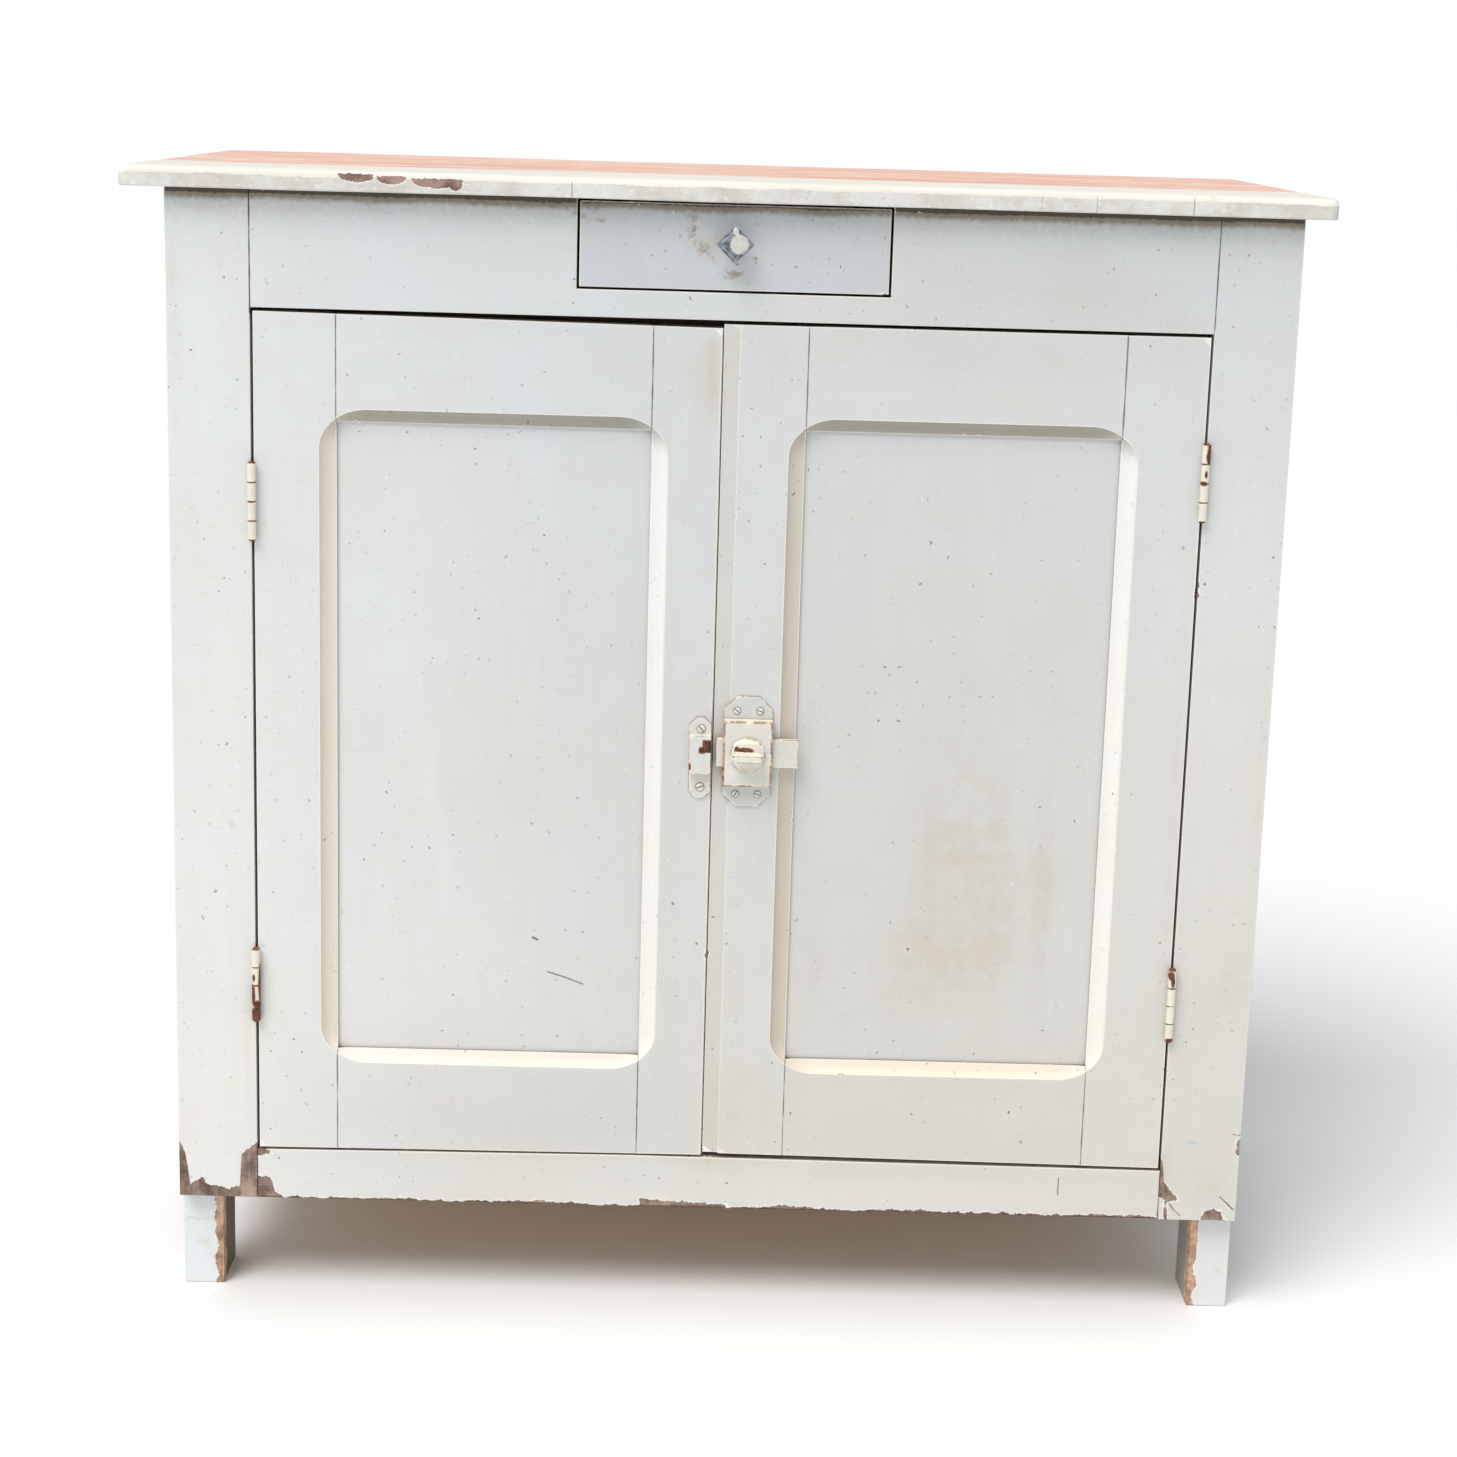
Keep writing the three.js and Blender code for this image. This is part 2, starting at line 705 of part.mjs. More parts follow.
// A door's five pieces, drawn in the cabinet's own place.
function doorBoards(word, side, door) {
  const size = doorSizes(word, side, door);
  const sightTop = apronBottom - door.topRail;
  const [sightLeft, sightRight] = size.sight;
  const grooveFront = panelRecess - panelClearance;
  const grooveBack = panelRecess + panelThickness + panelClearance;
  const mould = mouldCutter(size.sight, [sightBottom, sightTop]);
  const groove = block(
    [sightLeft - grooveDepth, sightRight + grooveDepth],
    [grooveFront, grooveBack],
    [0, bodyHeight],
  );
  const railGroove = block(
    [sightLeft - bodyWidth, sightRight + bodyWidth],
    [grooveFront, grooveBack],
    [sightBottom - grooveDepth, sightTop + grooveDepth],
  );
  const upright = (a, b) => {
    const [x0, x1] = a < b ? [a, b] : [b, a];
    const outline = shapeOf([
      [x0, size.bottomAt(x0)], [x1, size.bottomAt(x1)], [x1, size.topAt(x1)], [x0, size.topAt(x0)],
    ]);
    return frontExtrusion(outline, [0, doorThickness]);
  };
  const rail = (lower, upper) => {
    const body = frontExtrusion(
      shapeOf([
        [sightLeft, lower(sightLeft)], [sightRight, lower(sightRight)],
        [sightRight, upper(sightRight)], [sightLeft, upper(sightLeft)],
      ]),
      [0, doorThickness],
    );
    const x0 = sightLeft - tongueDepth;
    const x1 = sightRight + tongueDepth;
    const tenons = frontExtrusion(
      shapeOf([[x0, lower(x0)], [x1, lower(x1)], [x1, upper(x1)], [x0, upper(x0)]]),
      [panelRecess, panelRecess + panelThickness],
    );
    return cut(join([body, tenons]), [railGroove, mould]);
  };
  const strip = block(
    [size.lockEdge - margin, size.lockEdge + stripWidth],
    [-margin, stripDepth],
    [0, bodyHeight],
  );
  const hingeStile = cut(upright(size.hingeEdge, size.hingeInner), [groove, mould, ...size.recesses]);
  const lockCutters = side > 0 ? [groove, mould, strip] : [groove, mould];
  const lockStile = cut(upright(size.lockEdge, size.lockInner), lockCutters);
  const panel = block(
    [sightLeft - tongueDepth, sightRight + tongueDepth],
    [panelRecess, panelRecess + panelThickness],
    [sightBottom - tongueDepth, sightTop + tongueDepth],
  );
  return [
    part(`${door.name}_hinge_stile`, hingeStile, "paint"),
    part(`${door.name}_lock_stile`, lockStile, "paint"),
    part(`${door.name}_top_rail`, rail(() => sightTop, size.topAt), "paint"),
    part(`${door.name}_bottom_rail`, rail(size.bottomAt, () => sightBottom), "paint"),
    part(`${door.name}_panel`, panel, "paint"),
  ];
}

// ---------------------------------------------------------------- hinges

const knucklePitch = (hingeHeight + knuckleGap) / knuckleCount;

function knuckleSpan(i) {
  const bottom = -hingeHeight / 2 + i * knucklePitch;
  return [bottom, bottom + knucklePitch - knuckleGap];
}

// One leaf, drawn about the pin. towards is the side of the pin that the leaf's wood is on, and
// parity picks every second knuckle.
function hingeLeaf(name, towards, parity) {
  const woodFace = doorSideGap / 2; // from the pin's plane to the wood
  const across = mirrored(towards, [woodFace + leafInset - leafThickness, woodFace + leafInset]);
  const faceY = -hingeAxisY;
  const half = hingeHeight / 2;
  const plate = block(across, [faceY, faceY + leafDepth], [-half, half]);
  const spans = Array.from({ length: knuckleCount }, (_, i) => i)
    .filter((i) => i % 2 === parity)
    .map(knuckleSpan);
  const webs = spans.map((span) => block(across, [hingePinRadius, faceY + margin], span));
  const barrels = spans.map((span) => barAlongZ(knuckleRadius, span));
  const bore = barAlongZ(hingePinRadius + hingeBoreClearance, [-half - margin, half + margin]);
  return part(name, cut(join([plate, ...webs, ...barrels]), [bore]), "paintedMetal");
}

function hingePin(name) {
  const half = hingeHeight / 2;
  const points = [
    [0, -half - hingePinHeadHeight],
    [hingePinHeadTipRadius, -half - hingePinHeadHeight],
    [hingePinHeadRadius, -half - knuckleGap],
    [hingePinRadius, -half - knuckleGap],
    [hingePinRadius, half + knuckleGap],
    [hingePinHeadRadius, half + knuckleGap],
    [hingePinHeadTipRadius, half + hingePinHeadHeight],
    [0, half + hingePinHeadHeight],
  ].map(([r, z]) => new THREE.Vector2(r, z));
  return part(name, new THREE.LatheGeometry(points, roundSegments).rotateX(Math.PI / 2), "rustySteel");
}

function hinges({ word, side }) {
  return hingeCentres[word].map((z, i) => {
    const place = i === 0 ? "upper" : "lower";
    const hinge = new THREE.Group();
    hinge.position.set(side * hingeAxisX, hingeAxisY, z);
    hinge.add(
      hingeLeaf(`hinge_${word}_${place}_frame_leaf`, side, 0),
      hingeLeaf(`hinge_${word}_${place}_door_leaf`, -side, 1),
      hingePin(`hinge_${word}_${place}_pin`),
    );
    return hinge;
  });
}

// ---------------------------------------------------------------- latch and keeper

function latchPlate() {
  const plate = frontExtrusion(
    clippedPlate(latchPlateWidth, latchPlateHeight, latchPlateCorner),
    [-latchPlateThickness, 0],
  );
  return part("latch_plate", plate, "paintedMetal");
}

// The raised case: a tray open towards the plate, slotted at both ends for the bolt and bored for the
// spindle.
function latchCase() {
  const w = caseWidth / 2;
  const h = caseHeight / 2;
  const back = -latchPlateThickness;
  const tray = frontExtrusion(
    rectangle([-w + caseBevel, w - caseBevel], [-h + caseBevel, h - caseBevel]),
    [caseFront + caseBevel, back + caseDepth],
    { bevelEnabled: true, bevelSize: caseBevel, bevelThickness: caseBevel, bevelSegments: 1 },
  );
  const inside = block(
    [-w + caseWall, w - caseWall],
    [caseFront + caseWall, caseDepth * 2],
    [-h + caseWall, h - caseWall],
  );
  const behind = block([-w - margin, w + margin], [back, caseDepth * 2], [-h - margin, h + margin]);
  const slotHalf = boltHeight / 2 + boltClearance;
  const slotDepths = [boltFront - boltClearance, caseDepth];
  const slot = block([-w - margin, w + margin], slotDepths, [-slotHalf, slotHalf]);
  const bore = barAlongY(spindleRadius + spindleClearance, 0, 0, [caseFront - margin, 0]);
  return part("latch_case", cut(tray, [inside, behind, slot, bore]), "paintedMetal");
}

// The drive pin's place at rest: half the bolt's travel to the right of the spindle, and above it.
const camPin = [boltTravel / 2, Math.sqrt(camRadius ** 2 - (boltTravel / 2) ** 2)];

function latchBolt() {
  const half = boltHeight / 2;
  const bar = block([boltLeft, boltRight], [boltFront, boltBack], [-half, half]);
  const slotHalf = spindleRadius + spindleClearance;
  const through = [boltFront - margin, boltBack + margin];
  const spindleSlot = block([-slotHalf, boltTravel + slotHalf], through, [-slotHalf, slotHalf]);
  const notchHalf = camPinRadius + camPinClearance;
  const notch = block(
    [camPin[0] - notchHalf, camPin[0] + notchHalf],
    through,
    [camPin[1] - notchHalf, half + margin],
  );
  return part("latch_bolt", cut(bar, [spindleSlot, notch]), "paintedMetal");
}

// The knob: a domed disc with a grip bar across it, and its spindle, which carries the cam's drive pin.
function latchKnob() {
  const discBack = caseFront - boltClearance;
  const domeHeight = discHeight - discEdge;
  const dome = Array.from({ length: domeSegments + 1 }, (_, i) => {
    const angle = (i / domeSegments) * (Math.PI / 2);
    return new THREE.Vector2(discRadius * Math.cos(angle), discEdge + domeHeight * Math.sin(angle));
  });
  dome[domeSegments].x = 0;
  const profile = [new THREE.Vector2(0, 0), new THREE.Vector2(discRadius, 0), ...dome];
  // The lathe turns about Y, and the dome's top points to -Y.
  const disc = new THREE.LatheGeometry(profile, roundSegments).rotateX(Math.PI).translate(0, discBack, 0);
  const gripFront = discBack - discHeight - gripReach;
  const gripBack = discBack - gripSink;
  const gripOutline = shapeOf([
    [-gripTipWidth / 2, gripFront], [gripTipWidth / 2, gripFront],
    [gripWidth / 2, gripFront + gripShoulder], [gripRootWidth / 2, gripBack],
    [-gripRootWidth / 2, gripBack], [-gripWidth / 2, gripFront + gripShoulder],
  ]);
  const grip = planExtrusion(gripOutline, [-gripHeight / 2, gripHeight / 2]);
  const spindle = barAlongY(spindleRadius, 0, 0, [discBack - margin, boltBack]);
  const armLength = camRadius + camPinRadius + margin;
  const arm = block([0, armLength], [camFront, camBack], [-camWidth / 2, camWidth / 2]);
  arm.rotateY(-Math.atan2(camPin[1], camPin[0]));
  const pinSpan = [(camFront + camBack) / 2, boltBack - boltClearance];
  const drivePin = barAlongY(camPinRadius, camPin[0], camPin[1], pinSpan);
  return part("latch_knob", join([disc, grip, spindle, arm, drivePin]), "paintedMetal");
}

function latch() {
  const group = new THREE.Group();
  group.position.set(latchX, 0, latchZ);
  group.add(latchPlate(), latchCase(), latchBolt(), latchKnob());
  return group;
}

// The keeper: a clipped plate with a box on it that the bolt enters from the right.
function keeper() {
  const right = keeperWidth / 2;
  const plate = frontExtrusion(clippedPlate(keeperWidth, keeperHeight, keeperCorner), [-keeperWall, 0]);
  const boxFront = boltFront - boltClearance - keeperWall;
  const boxMiddle = keeperDrop - keeperBoxDrop;
  const half = boltHeight / 2 + keeperPlay + keeperWall;
  const boxSpan = [boxMiddle - half, boxMiddle + half];
  const box = block([-right, right], [boxFront, -keeperWall / 2], boxSpan);
  const cavity = block(
    [-right + keeperWall, right + margin],
    [boxFront + keeperWall, -keeperWall],
    [boxSpan[0] + keeperWall, boxSpan[1] - keeperWall],
  );
  const mesh = part("keeper", cut(join([plate, box]), [cavity]), "paintedMetal");
  mesh.position.set(meetingX - meetingGap / 2 - right, 0, latchZ - keeperDrop);
  return mesh;
}

// ---------------------------------------------------------------- assembly

function cabinet() {
  const group = new THREE.Group();
  group.add(
    caseParts(),
    drawer(),
    ...doorBoards("left", -1, leftDoor),
    ...doorBoards("right", 1, rightDoor),
    ...sides.flatMap(hinges),
    latch(),
    keeper(),
  );
  const box = new THREE.Box3().setFromObject(group, true);
  const centre = box.getCenter(new THREE.Vector3());
  group.position.set(-centre.x, -centre.y, -box.min.z);
  return group;
}

export default cabinet();
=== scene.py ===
"""A painted pine pantry cabinet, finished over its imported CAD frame: worn boards under old grey oil paint,
a faded pink top, painted and rusting ironwork, bare pine inside.

Everything is in metres in the frame of the CAD: +Z up, the front faces -Y, the floor is z = 0.
"""

import json
import math
import zlib

import bmesh
import bpy
import numpy as np
from mathutils import Matrix, Vector, noise
from mathutils.bvhtree import BVHTree


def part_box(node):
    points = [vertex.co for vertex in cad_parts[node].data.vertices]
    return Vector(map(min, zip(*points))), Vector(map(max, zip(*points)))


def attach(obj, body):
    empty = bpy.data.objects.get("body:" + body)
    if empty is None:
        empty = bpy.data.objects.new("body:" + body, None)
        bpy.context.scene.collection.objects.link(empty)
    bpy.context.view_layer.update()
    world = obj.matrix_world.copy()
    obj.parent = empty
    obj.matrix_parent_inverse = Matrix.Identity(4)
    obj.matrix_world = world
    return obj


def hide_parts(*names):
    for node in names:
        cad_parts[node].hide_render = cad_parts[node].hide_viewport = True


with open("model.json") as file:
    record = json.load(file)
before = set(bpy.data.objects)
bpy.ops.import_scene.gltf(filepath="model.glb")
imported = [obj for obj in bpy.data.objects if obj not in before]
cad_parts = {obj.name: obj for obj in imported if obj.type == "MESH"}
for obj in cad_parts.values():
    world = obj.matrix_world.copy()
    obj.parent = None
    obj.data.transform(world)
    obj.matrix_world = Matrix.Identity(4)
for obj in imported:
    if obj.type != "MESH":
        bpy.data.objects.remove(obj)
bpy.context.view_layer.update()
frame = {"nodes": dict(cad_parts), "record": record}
nodes = frame["nodes"]
body_of = {
    node: body for body, members in frame["record"]["behaviour"]["bodies"].items() for node in members
}
MM = 0.001

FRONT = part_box("face_stile_left")[0].y  # the plane of the face frame and the doors
FRAME_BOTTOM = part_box("bottom_rail")[0].z
FRAME_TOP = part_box("face_stile_left")[1].z
TOP_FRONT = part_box("top_board")[0].y
TOP_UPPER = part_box("top_board")[1].z


def placed(name, data):
    """A new object of the data, in the scene."""
    made = bpy.data.objects.new(name, data)
    bpy.context.scene.collection.objects.link(made)
    return made


# ---------------------------------------------------------------- camera, light and floor


def camera():
    """A hand-held view from a little left of the middle, tipped down and slightly rolled."""
    data = bpy.data.cameras.new("camera")
    data.sensor_width = 36
    data.lens = 64.18
    data.shift_x = -0.0113
    data.shift_y = -0.0775
    data.clip_end = 100
    pitch, yaw, roll = (math.radians(a) for a in (-11.548, -0.695, 1.689))
    turn = Matrix.Rotation(yaw, 3, "Z") @ Matrix.Rotation(pitch, 3, "X")
    across, ahead, above = turn @ Vector((1, 0, 0)), turn @ Vector((0, 1, 0)), turn @ Vector((0, 0, 1))
    right = across * math.cos(roll) + above * math.sin(roll)
    up = above * math.cos(roll) - across * math.sin(roll)
    place = Matrix((right, up, -ahead)).transposed().to_4x4()
    place.translation = (-0.00415, -2.61413, 1.18528)
    eye = placed("camera", data)
    eye.matrix_world = place
    bpy.context.scene.camera = eye


def key_light(towards, strength, spread, colour):
    """One broad, far lamp: a direction, watts per square metre and an angular width in degrees."""
    data = bpy.data.lights.new("key", "SUN")
    data.energy = strength
    data.angle = math.radians(spread)
    data.color = colour
    placed("key", data).rotation_euler = Vector(towards).to_track_quat("-Z", "Y").to_euler()


def sky(seen, strength):
    """An even white surround: bright where the camera sees it, softer as a light."""
    world = bpy.data.worlds.new("surround")
    world.use_nodes = True
    tree = world.node_tree
    tree.nodes.clear()
    kinds = ("LightPath", "Background", "Background", "MixShader", "OutputWorld")
    path, light, backdrop, choice, out = (tree.nodes.new(f"ShaderNode{kind}") for kind in kinds)
    light.inputs["Color"].default_value = (0.94, 0.97, 1, 1)
    light.inputs["Strength"].default_value = strength
    backdrop.inputs["Strength"].default_value = seen
    backdrop.inputs["Color"].default_value = (1, 1, 1, 1)
    sources = (path.outputs["Is Camera Ray"], light.outputs[0], backdrop.outputs[0])
    for source, socket in zip(sources, choice.inputs):
        tree.links.new(source, socket)
    tree.links.new(choice.outputs[0], out.inputs[0])
    bpy.context.scene.world = world


def floor():
    """A pale studio floor, big enough to fill every view."""
    half = 40
    mesh = bpy.data.meshes.new("floor")
    corners = [(-half, -half, 0), (half, -half, 0), (half, half, 0), (-half, half, 0)]
    mesh.from_pydata(corners, [], [(0, 1, 2, 3)])
    g = Graph("floor")
    cloud = g.noise(g.place(), 1.5, detail=2)
    g.colour(g.mix(cloud, srgb(249, 249, 249), srgb(252, 252, 252)))
    g.rough(g.ramp(cloud, 0, 1, 0.7, 0.8))
    mesh.materials.append(g.material)
    placed("floor", mesh)


# ---------------------------------------------------------------- node graphs


def srgb(red, green, blue):
    """The linear colour of an sRGB one given in 0 to 255."""

    def linear(value):
        value /= 255
        return value / 12.92 if value <= 0.04045 else ((value + 0.055) / 1.055) ** 2.4

    return (linear(red), linear(green), linear(blue), 1.0)


class Graph:
    """A material's nodes, made by calls that each return a socket."""

    def __init__(self, name):
        self.material = bpy.data.materials.new(name)
        self.material.use_nodes = True
        self.tree = self.material.node_tree
        self.tree.nodes.clear()
        self.shader = self.add("ShaderNodeBsdfPrincipled")
        out = self.add("ShaderNodeOutputMaterial")
        self.tree.links.new(self.shader.outputs[0], out.inputs[0])

    def add(self, kind, inputs=None, **settings):
        node = self.tree.nodes.new(kind)
        for name, value in settings.items():
            setattr(node, name, value)
        for name, value in (inputs or {}).items():
            self.put(node.inputs[name], value)
        return node

    def put(self, socket, value):
        if isinstance(value, bpy.types.NodeSocket):
            self.tree.links.new(value, socket)
        else:
            socket.default_value = value

    def math(self, operation, *values):
        return self.add("ShaderNodeMath", dict(enumerate(values)), operation=operation).outputs[0]

    def add_up(self, *values):
        total = values[0]
        for value in values[1:]:
            total = self.math("ADD", total, value)
        return total

    def times(self, a, b):
        return self.math("MULTIPLY", a, b)

    def most(self, a, b):
        return self.math("MAXIMUM", a, b)

    def around(self, value, middle, gain):
        """(value - middle) * gain."""
        return self.math("MULTIPLY_ADD", value, gain, -middle * gain)

    def ramp(self, value, low, high, out_low=0.0, out_high=1.0):
        """A smooth step from out_low at low to out_high at high."""
        inputs = {"Value": value, "From Min": low, "From Max": high, "To Min": out_low, "To Max": out_high}
        return self.add("ShaderNodeMapRange", inputs, interpolation_type="SMOOTHSTEP").outputs[0]

    def mix(self, factor, a, b, blend="MIX"):
        inputs = {0: factor, 6: a, 7: b}
        return self.add("ShaderNodeMix", inputs, data_type="RGBA", blend_type=blend).outputs[2]

    def dyed(self, colour, dye):
        return self.mix(1.0, colour, dye, "MULTIPLY")

    def between(self, value, low, high, first, last):
        """One tone at low, another at high."""
        return self.mix(self.ramp(value, low, high), srgb(*first), srgb(*last))

    def over(self, colour, value, low, high, share, tone):
        """Lays a tone over a colour as value goes from low to high, by share at most."""
        return self.mix(self.ramp(value, low, high, 0, share), colour, srgb(*tone))

    def place(self):
        return self.add("ShaderNodeTexCoord").outputs["Object"]

    def axis(self, vector, name):
        return self.add("ShaderNodeSeparateXYZ", {0: vector}).outputs[name]

    def value(self, name, output="Fac"):
        """A value that the mesh carries, under the name it was put there with."""
        return self.add("ShaderNodeAttribute", attribute_name=name).outputs[output]

    def vectors(self, operation, a, b):
        return self.add("ShaderNodeVectorMath", {0: a, 1: b}, operation=operation).outputs[0]

    def scaled(self, vector, factors):
        return self.vectors("MULTIPLY", vector, factors)

    def shifted(self, vector, offset):
        return self.vectors("ADD", vector, offset)

    def noise(self, vector, scale, detail=4.0, roughness=0.55, distortion=0.0):
        inputs = {"Vector": vector, "Scale": scale, "Detail": detail, "Roughness": roughness}
        inputs["Distortion"] = distortion
        return self.add("ShaderNodeTexNoise", inputs).outputs[0]

    def drawn_out(self, vector, factors, detail, roughness=0.55):
        """Noise stretched along the grain."""
        return self.noise(self.scaled(vector, factors), 1, detail, roughness)

    def bent(self, vector, scale, size):
        """A vector pushed about by noise, so that what is drawn with it is uneven."""
        noisy = self.add("ShaderNodeTexNoise", {"Vector": vector, "Scale": scale, "Detail": 2.0})
        push = self.vectors("SUBTRACT", noisy.outputs["Color"], (0.5, 0.5, 0.5))
        return self.shifted(self.scaled(push, (size * 2,) * 3), vector)

    def spots(self, vector, scale, size, share):
        """Round spots on a board's face, in a share of the cells and up to size in cell units."""
        inputs = {"Vector": vector, "Scale": scale}
        cells = self.add("ShaderNodeTexVoronoi", inputs, voronoi_dimensions="2D")
        pick = self.axis(cells.outputs["Color"], "X")
        radius = self.ramp(pick, 1 - share, 1, 0, size)
        return self.ramp(self.math("SUBTRACT", radius, cells.outputs["Distance"]), 0, size * 0.3)

    def bump(self, height, distance, strength=1.0):
        inputs = {"Height": height, "Distance": distance, "Strength": strength}
        self.put(self.shader.inputs["Normal"], self.add("ShaderNodeBump", inputs).outputs[0])

    def colour(self, value):
        self.put(self.shader.inputs["Base Color"], value)

    def rough(self, value):
        self.put(self.shader.inputs["Roughness"], value)


# ---------------------------------------------------------------- materials


def jagged(g, place):
    """Two sizes of ragged noise, in millimetres either way."""
    coarse = g.around(g.noise(place, 165, detail=5, roughness=0.66), 0.5, 9)
    fine = g.around(g.noise(place, 420, detail=4, roughness=0.6), 0.5, 2.4)
    return coarse, fine


def flaking_edge(g, place, fine, edge, scale, level):
    """Places where the paint has come off an arris; a higher level leaves more on."""
    flakes = g.around(g.noise(place, scale, detail=6, roughness=0.7), level, 26)
    return g.math("SUBTRACT", g.add_up(flakes, fine), edge)


def stripped_wood(g, place, grain):
    """The mottled brown of softwood that paint has come off."""
    patches = g.noise(place, 75, detail=6, roughness=0.7)
    fibre = g.drawn_out(grain, (30, 420, 420), 5, 0.65)
    tone = g.add_up(g.times(patches, 0.7), g.times(fibre, 0.3))
    wood = g.between(tone, 0.38, 0.6, (162, 140, 126), (112, 90, 80))
    return g.over(wood, g.noise(place, 28, detail=4), 0.5, 0.66, 0.6, (186, 164, 146)), fibre


def aged_paint():
    """Pale grey oil paint on pine: brush marks, nibs, specks, stains, and chips that show brown wood."""
    g = Graph("aged_paint")
    place, grain = g.place(), g.value("grain", "Vector")
    strokes = g.drawn_out(grain, (9, 300, 300), 3)
    streaks = g.drawn_out(grain, (3, 30, 30), 4)
    broad = g.noise(place, 3.4, detail=4, roughness=0.6)
    blotch = g.noise(place, 15, detail=5, roughness=0.62)
    coarse, fine = jagged(g, place)

    lean = g.add_up(g.around(g.axis(place, "Z"), 0.7, -0.9), g.times(g.axis(place, "X"), 0.35))
    warmth = g.add_up(lean, g.around(broad, 0.5, 1.6), g.around(blotch, 0.5, 0.6))
    colour = g.between(warmth, -0.7, 0.9, (213, 216, 219), (217, 213, 204))
    cloudy = g.add_up(g.around(blotch, 0.5, 0.7), g.around(streaks, 0.5, 0.5), g.around(broad, 0.5, 0.6))
    colour = g.over(colour, cloudy, -0.25, 0.35, 0.3, (199, 200, 198))
    spotty = g.around(g.noise(place, 60, detail=4), 0.5, 0.5)
    ragged_stain = g.add_up(g.times(blotch, 0.5), g.times(streaks, 0.5), spotty)
    stain = g.times(g.value("stain"), g.ramp(ragged_stain, 0.35, 0.65, 0.5, 1.1))
    colour = g.over(colour, stain, 0, 1, 0.54, (202, 180, 148))
    colour = g.over(colour, g.value("stain"), 0, -0.4, 0.8, (234, 234, 232))
    colour = g.mix(g.value("ink"), colour, srgb(172, 194, 214))
    # The faces' tints hold painted light and shade (coves, bevels, gaps, legs, lighter and darker patches)
    # as well as each board's tone.
    colour = g.dyed(colour, g.value("tint", "Color"))
    colour = g.over(colour, strokes, 0.3, 0.7, 0.03, (170, 168, 165))

    mottle = g.noise(place, 170, detail=6, roughness=0.75)
    # Soot with painted shade under the top: a grey painted shade, then brown soot, then a near-black line
    # right under the top, a painted shadow.
    soot_and_shade = g.add_up(g.value("soot_and_shade"), g.around(mottle, 0.5, 0.55))
    colour = g.over(colour, soot_and_shade, 0.05, 0.35, 0.3, (150, 152, 154))
    colour = g.over(colour, soot_and_shade, 0.3, 0.75, 0.82, (112, 96, 70))
    colour = g.over(colour, soot_and_shade, 0.86, 1.02, 0.85, (46, 33, 25))
    grime_and_shade = g.add_up(g.value("grime_and_shade"), g.around(mottle, 0.5, 2.4))
    colour = g.over(colour, grime_and_shade, 0.4, 1.1, 0.75, (140, 116, 92))
    bent = g.bent(grain, 260, 0.0035)
    crowd = g.ramp(g.noise(place, 11, detail=3), 0.42, 0.62, 0.25, 1)
    specks = g.times(g.spots(bent, 75, 0.08, 0.28), crowd)
    flecks = g.times(g.spots(g.shifted(bent, (1.7, 0.9, 0)), 135, 0.085, 0.16), crowd)
    marks = g.most(specks, g.times(flecks, 0.8))
    colour = g.mix(g.times(marks, 0.8), colour, srgb(104, 92, 84))
    nibs = g.spots(g.shifted(bent, (0.31, 0.17, 0)), 62, 0.085, 0.24)
    colour = g.mix(g.times(nibs, 0.5), colour, srgb(240, 239, 236))
    seam = g.add_up(g.value("seam"), g.around(g.noise(place, 45, detail=4), 0.5, 2.2))
    colour = g.mix(g.ramp(seam, 0.25, 0.95, 0.9, 0), colour, (0.36, 0.32, 0.29, 1), "MULTIPLY")

    edge = g.value("edge")
    # A painted highlight with thinly worn paint: the arrises are painted pale cream.
    arris = g.ramp(g.add_up(edge, g.times(fine, 0.5)), 0.1, 1.4, 0.7, 0.0)
    colour = g.mix(arris, colour, srgb(247, 242, 233))
    flaking = flaking_edge(g, place, fine, edge, 30, 0.655)
    bare = g.most(g.add_up(g.value("bare"), coarse, g.times(fine, 1.5)), flaking)
    colour = g.over(colour, bare, -1.7, -0.5, 0.85, (247, 245, 240))
    bare = g.ramp(bare, -0.15, 0.15)
    scratch = g.add_up(g.value("scratch"), g.times(fine, 0.4))
    colour = g.over(colour, scratch, -0.1, 0.3, 0.85, (108, 82, 70))
    timber, fibre = stripped_wood(g, place, grain)
    timber = g.dyed(timber, g.value("under", "Color"))
    g.colour(g.mix(bare, colour, timber))
    g.rough(g.mix(bare, g.add_up(g.around(strokes, 0.5, 0.25), 0.47), (0.85, 0.85, 0.85, 1)))
    peel = g.noise(place, 240, detail=2)
    relief = g.add_up(g.times(strokes, 0.14), g.times(peel, 0.2), g.times(nibs, 1.1), g.times(bare, -0.9))
    relief = g.add_up(relief, g.times(marks, -0.7), g.times(g.times(bare, fibre), 0.5))
    g.bump(relief, 0.0007, 0.8)
    return g.material


